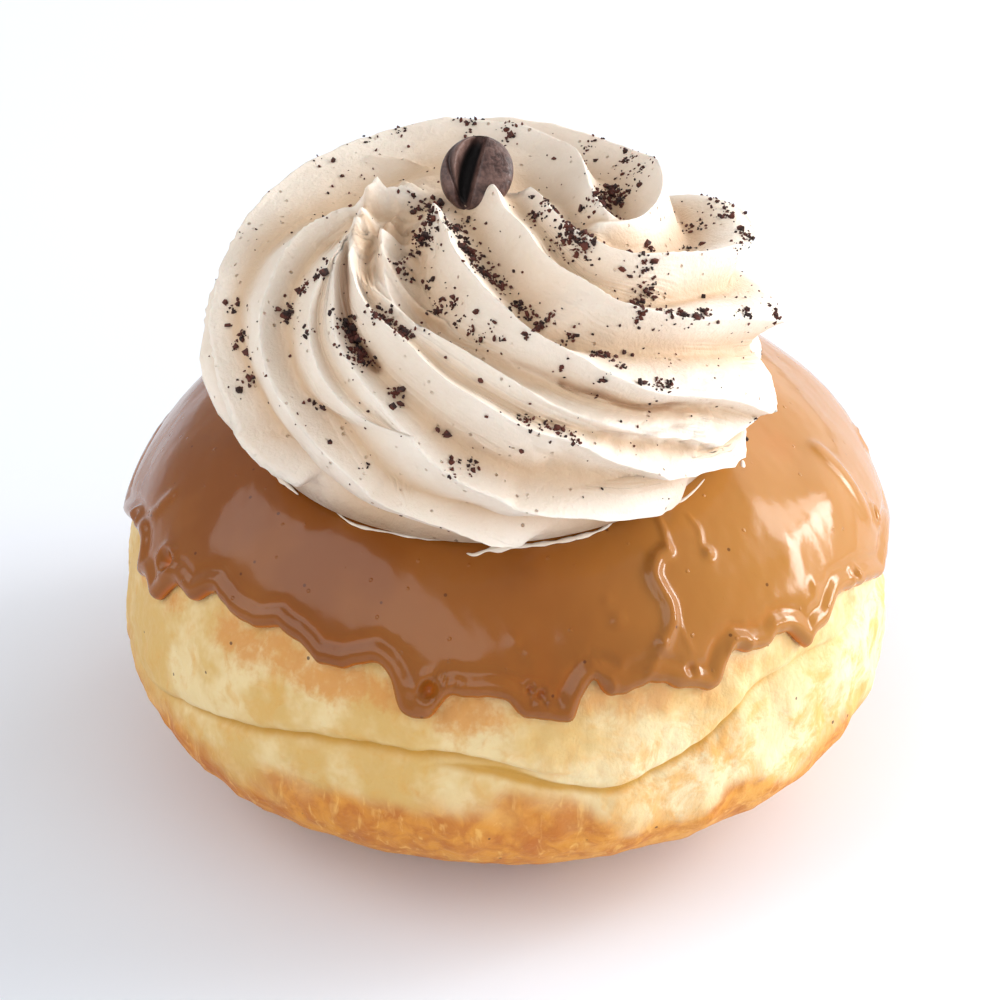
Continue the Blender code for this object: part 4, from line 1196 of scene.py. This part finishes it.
def bean_finish():
    roast = Finish("dark_roast")
    furrow, fold, lobe = roast.tone("furrow"), roast.tone("fold"), roast.tone("lobe")
    fine = roast.noise(0.5, 4.0)
    patch = roast.noise(2.6, 3.0)
    colour = roast.mix(roast.step(fine, 0.3, 0.75), srgb(54, 33, 28), srgb(100, 72, 64))
    colour = roast.mix(roast.step(patch, 0.45, 0.7) * 0.5, colour, srgb(134, 104, 94))
    # painted highlight on the raised lobe
    colour = roast.mix(lobe * 0.4, colour, srgb(140, 106, 92))
    # painted shade in the fold
    colour = roast.mix(fold * 0.8, colour, srgb(44, 26, 22))
    # painted shade: the furrow near black
    colour = roast.mix(roast.step(furrow, 0.35, 0.8), colour, srgb(12, 5, 4))
    roast.set(Base_Color=colour, Roughness=0.3 + 0.2 * fine + 0.45 * furrow,
              Normal=roast.bump(fine, 0.14))
    return roast.material


def ground_finish():
    ground = Finish("ground_coffee_brown")
    fine = ground.noise(1.1, 2.0)
    colour = ground.mix(ground.step(fine, 0.4, 0.6), srgb(38, 16, 11), srgb(86, 36, 22))
    ground.set(Base_Color=colour, Roughness=0.75)
    return ground.material


# ---- stage -----------------------------------------------------------------------------------
CAMERA_TARGET = (0.0, 0.0, 0.020)
CAMERA_RISE = 33.0
CAMERA_DISTANCE = 0.5
CAMERA_FOCAL = 4320.0
CAMERA_TARGET_PIXEL = (506.0, 575.3)
PICTURE = 1000.0


def build_camera():
    rise = math.radians(CAMERA_RISE)
    forward = Vector((0.0, math.cos(rise), -math.sin(rise)))
    up = Vector((0.0, math.sin(rise), math.cos(rise)))
    right = Vector((1.0, 0.0, 0.0))
    side = (PICTURE / 2.0 - CAMERA_TARGET_PIXEL[0]) / CAMERA_FOCAL
    lift = (CAMERA_TARGET_PIXEL[1] - PICTURE / 2.0) / CAMERA_FOCAL
    view = forward + side * right + lift * up
    lens = bpy.data.cameras.new("camera")
    lens.lens = CAMERA_FOCAL / PICTURE * lens.sensor_width
    camera = bpy.data.objects.new("camera", lens)
    camera.location = Vector(CAMERA_TARGET) - forward * CAMERA_DISTANCE
    camera.rotation_mode = "QUATERNION"
    camera.rotation_quaternion = view.to_track_quat("-Z", "Y")
    bpy.context.scene.collection.objects.link(camera)
    bpy.context.scene.camera = camera


def soft_box(name, turn, rise, roll, size, radiance, colour, shows="both"):
    """A soft light a metre away that faces the doughnut from a direction given in degrees. It
    shows in the gloss, brightens the doughnut, or both."""
    turn, rise = math.radians(turn), math.radians(rise)
    towards = Vector((math.cos(turn) * math.cos(rise), math.sin(turn) * math.cos(rise),
                      math.sin(rise)))
    lamp = bpy.data.lights.new(name, "AREA")
    lamp.shape = "RECTANGLE"
    lamp.size, lamp.size_y = size
    lamp.energy = radiance * math.pi * size[0] * size[1]
    lamp.color = colour
    light = bpy.data.objects.new(name, lamp)
    light.location = Vector((0.0, 0.0, 0.04)) + towards
    light.rotation_mode = "QUATERNION"
    facing = (-towards).to_track_quat("-Z", "Y")
    light.rotation_quaternion = facing @ Quaternion((0.0, 0.0, 1.0), math.radians(roll))
    light.visible_glossy = shows != "light"
    light.visible_diffuse = shows != "gloss"
    bpy.context.scene.collection.objects.link(light)


def build_stage():
    shape = bmesh.new()
    bmesh.ops.create_grid(shape, x_segments=1, y_segments=1, size=3.0)
    mesh = bpy.data.meshes.new("floor")
    shape.to_mesh(mesh)
    shape.free()
    floor = finished("floor", mesh)
    pale = Finish("pale_floor")
    pale.set(Base_Color=srgb(238, 242, 249), Roughness=0.6)
    mesh.materials.append(pale.material)
    world = bpy.data.worlds.new("studio")
    world.use_nodes = True
    sky = world.node_tree.nodes["Background"]
    sky.inputs["Color"].default_value = (0.97, 0.98, 1.0, 1.0)
    sky.inputs["Strength"].default_value = 0.52
    bpy.context.scene.world = world
    bpy.context.scene.view_settings.view_transform = "Standard"
    soft_box("window", 11.0, 20.0, 30.0, (0.46, 0.2), 17.0, (1.0, 0.99, 0.98))
    soft_box("pane", 22.0, 32.0, 0.0, (0.26, 0.22), 6.0, (1.0, 0.99, 0.98))
    soft_box("side", 336.0, 8.0, 0.0, (0.9, 0.5), 4.8, (0.9, 0.94, 1.0), "light")
    soft_box("sheen", 32.0, 28.0, 0.0, (0.9, 0.7), 2.6, (0.92, 0.955, 1.0), "light")
    soft_box("glow", 42.0, 22.0, 0.0, (1.4, 0.8), 1.3, (1.0, 0.98, 0.95), "gloss")
    soft_box("front", 248.0, 22.0, 0.0, (1.0, 0.6), 0.8, (1.0, 1.0, 1.0), "light")
    soft_box("left", 192.0, 34.0, 0.0, (0.9, 0.9), 1.5, (0.98, 0.99, 1.0), "light")
    soft_box("panel", 206.0, 51.0, 8.0, (1.85, 0.6), 1.8, (0.97, 0.98, 1.0), "gloss")


def dress(piece, material, slot, *nodes):
    piece.data.materials.append(material)
    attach(piece, "root")
    if nodes:
        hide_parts(*nodes)


dress(build_bun(), bun_finish(), "crust", "dough")
dress(build_glaze(), glaze_finish(), "coffee_glaze", "glaze")
buttercream = cream_finish()
dress(build_swirl(), buttercream, "coffee_cream", "cream_swirl")
dress(build_smears(), buttercream, "coffee_cream")
dress(build_bean(), bean_finish(), "roasted_bean", "coffee_bean")
dress(build_ground(), ground_finish(), "roasted_bean")
build_stage()
build_camera()
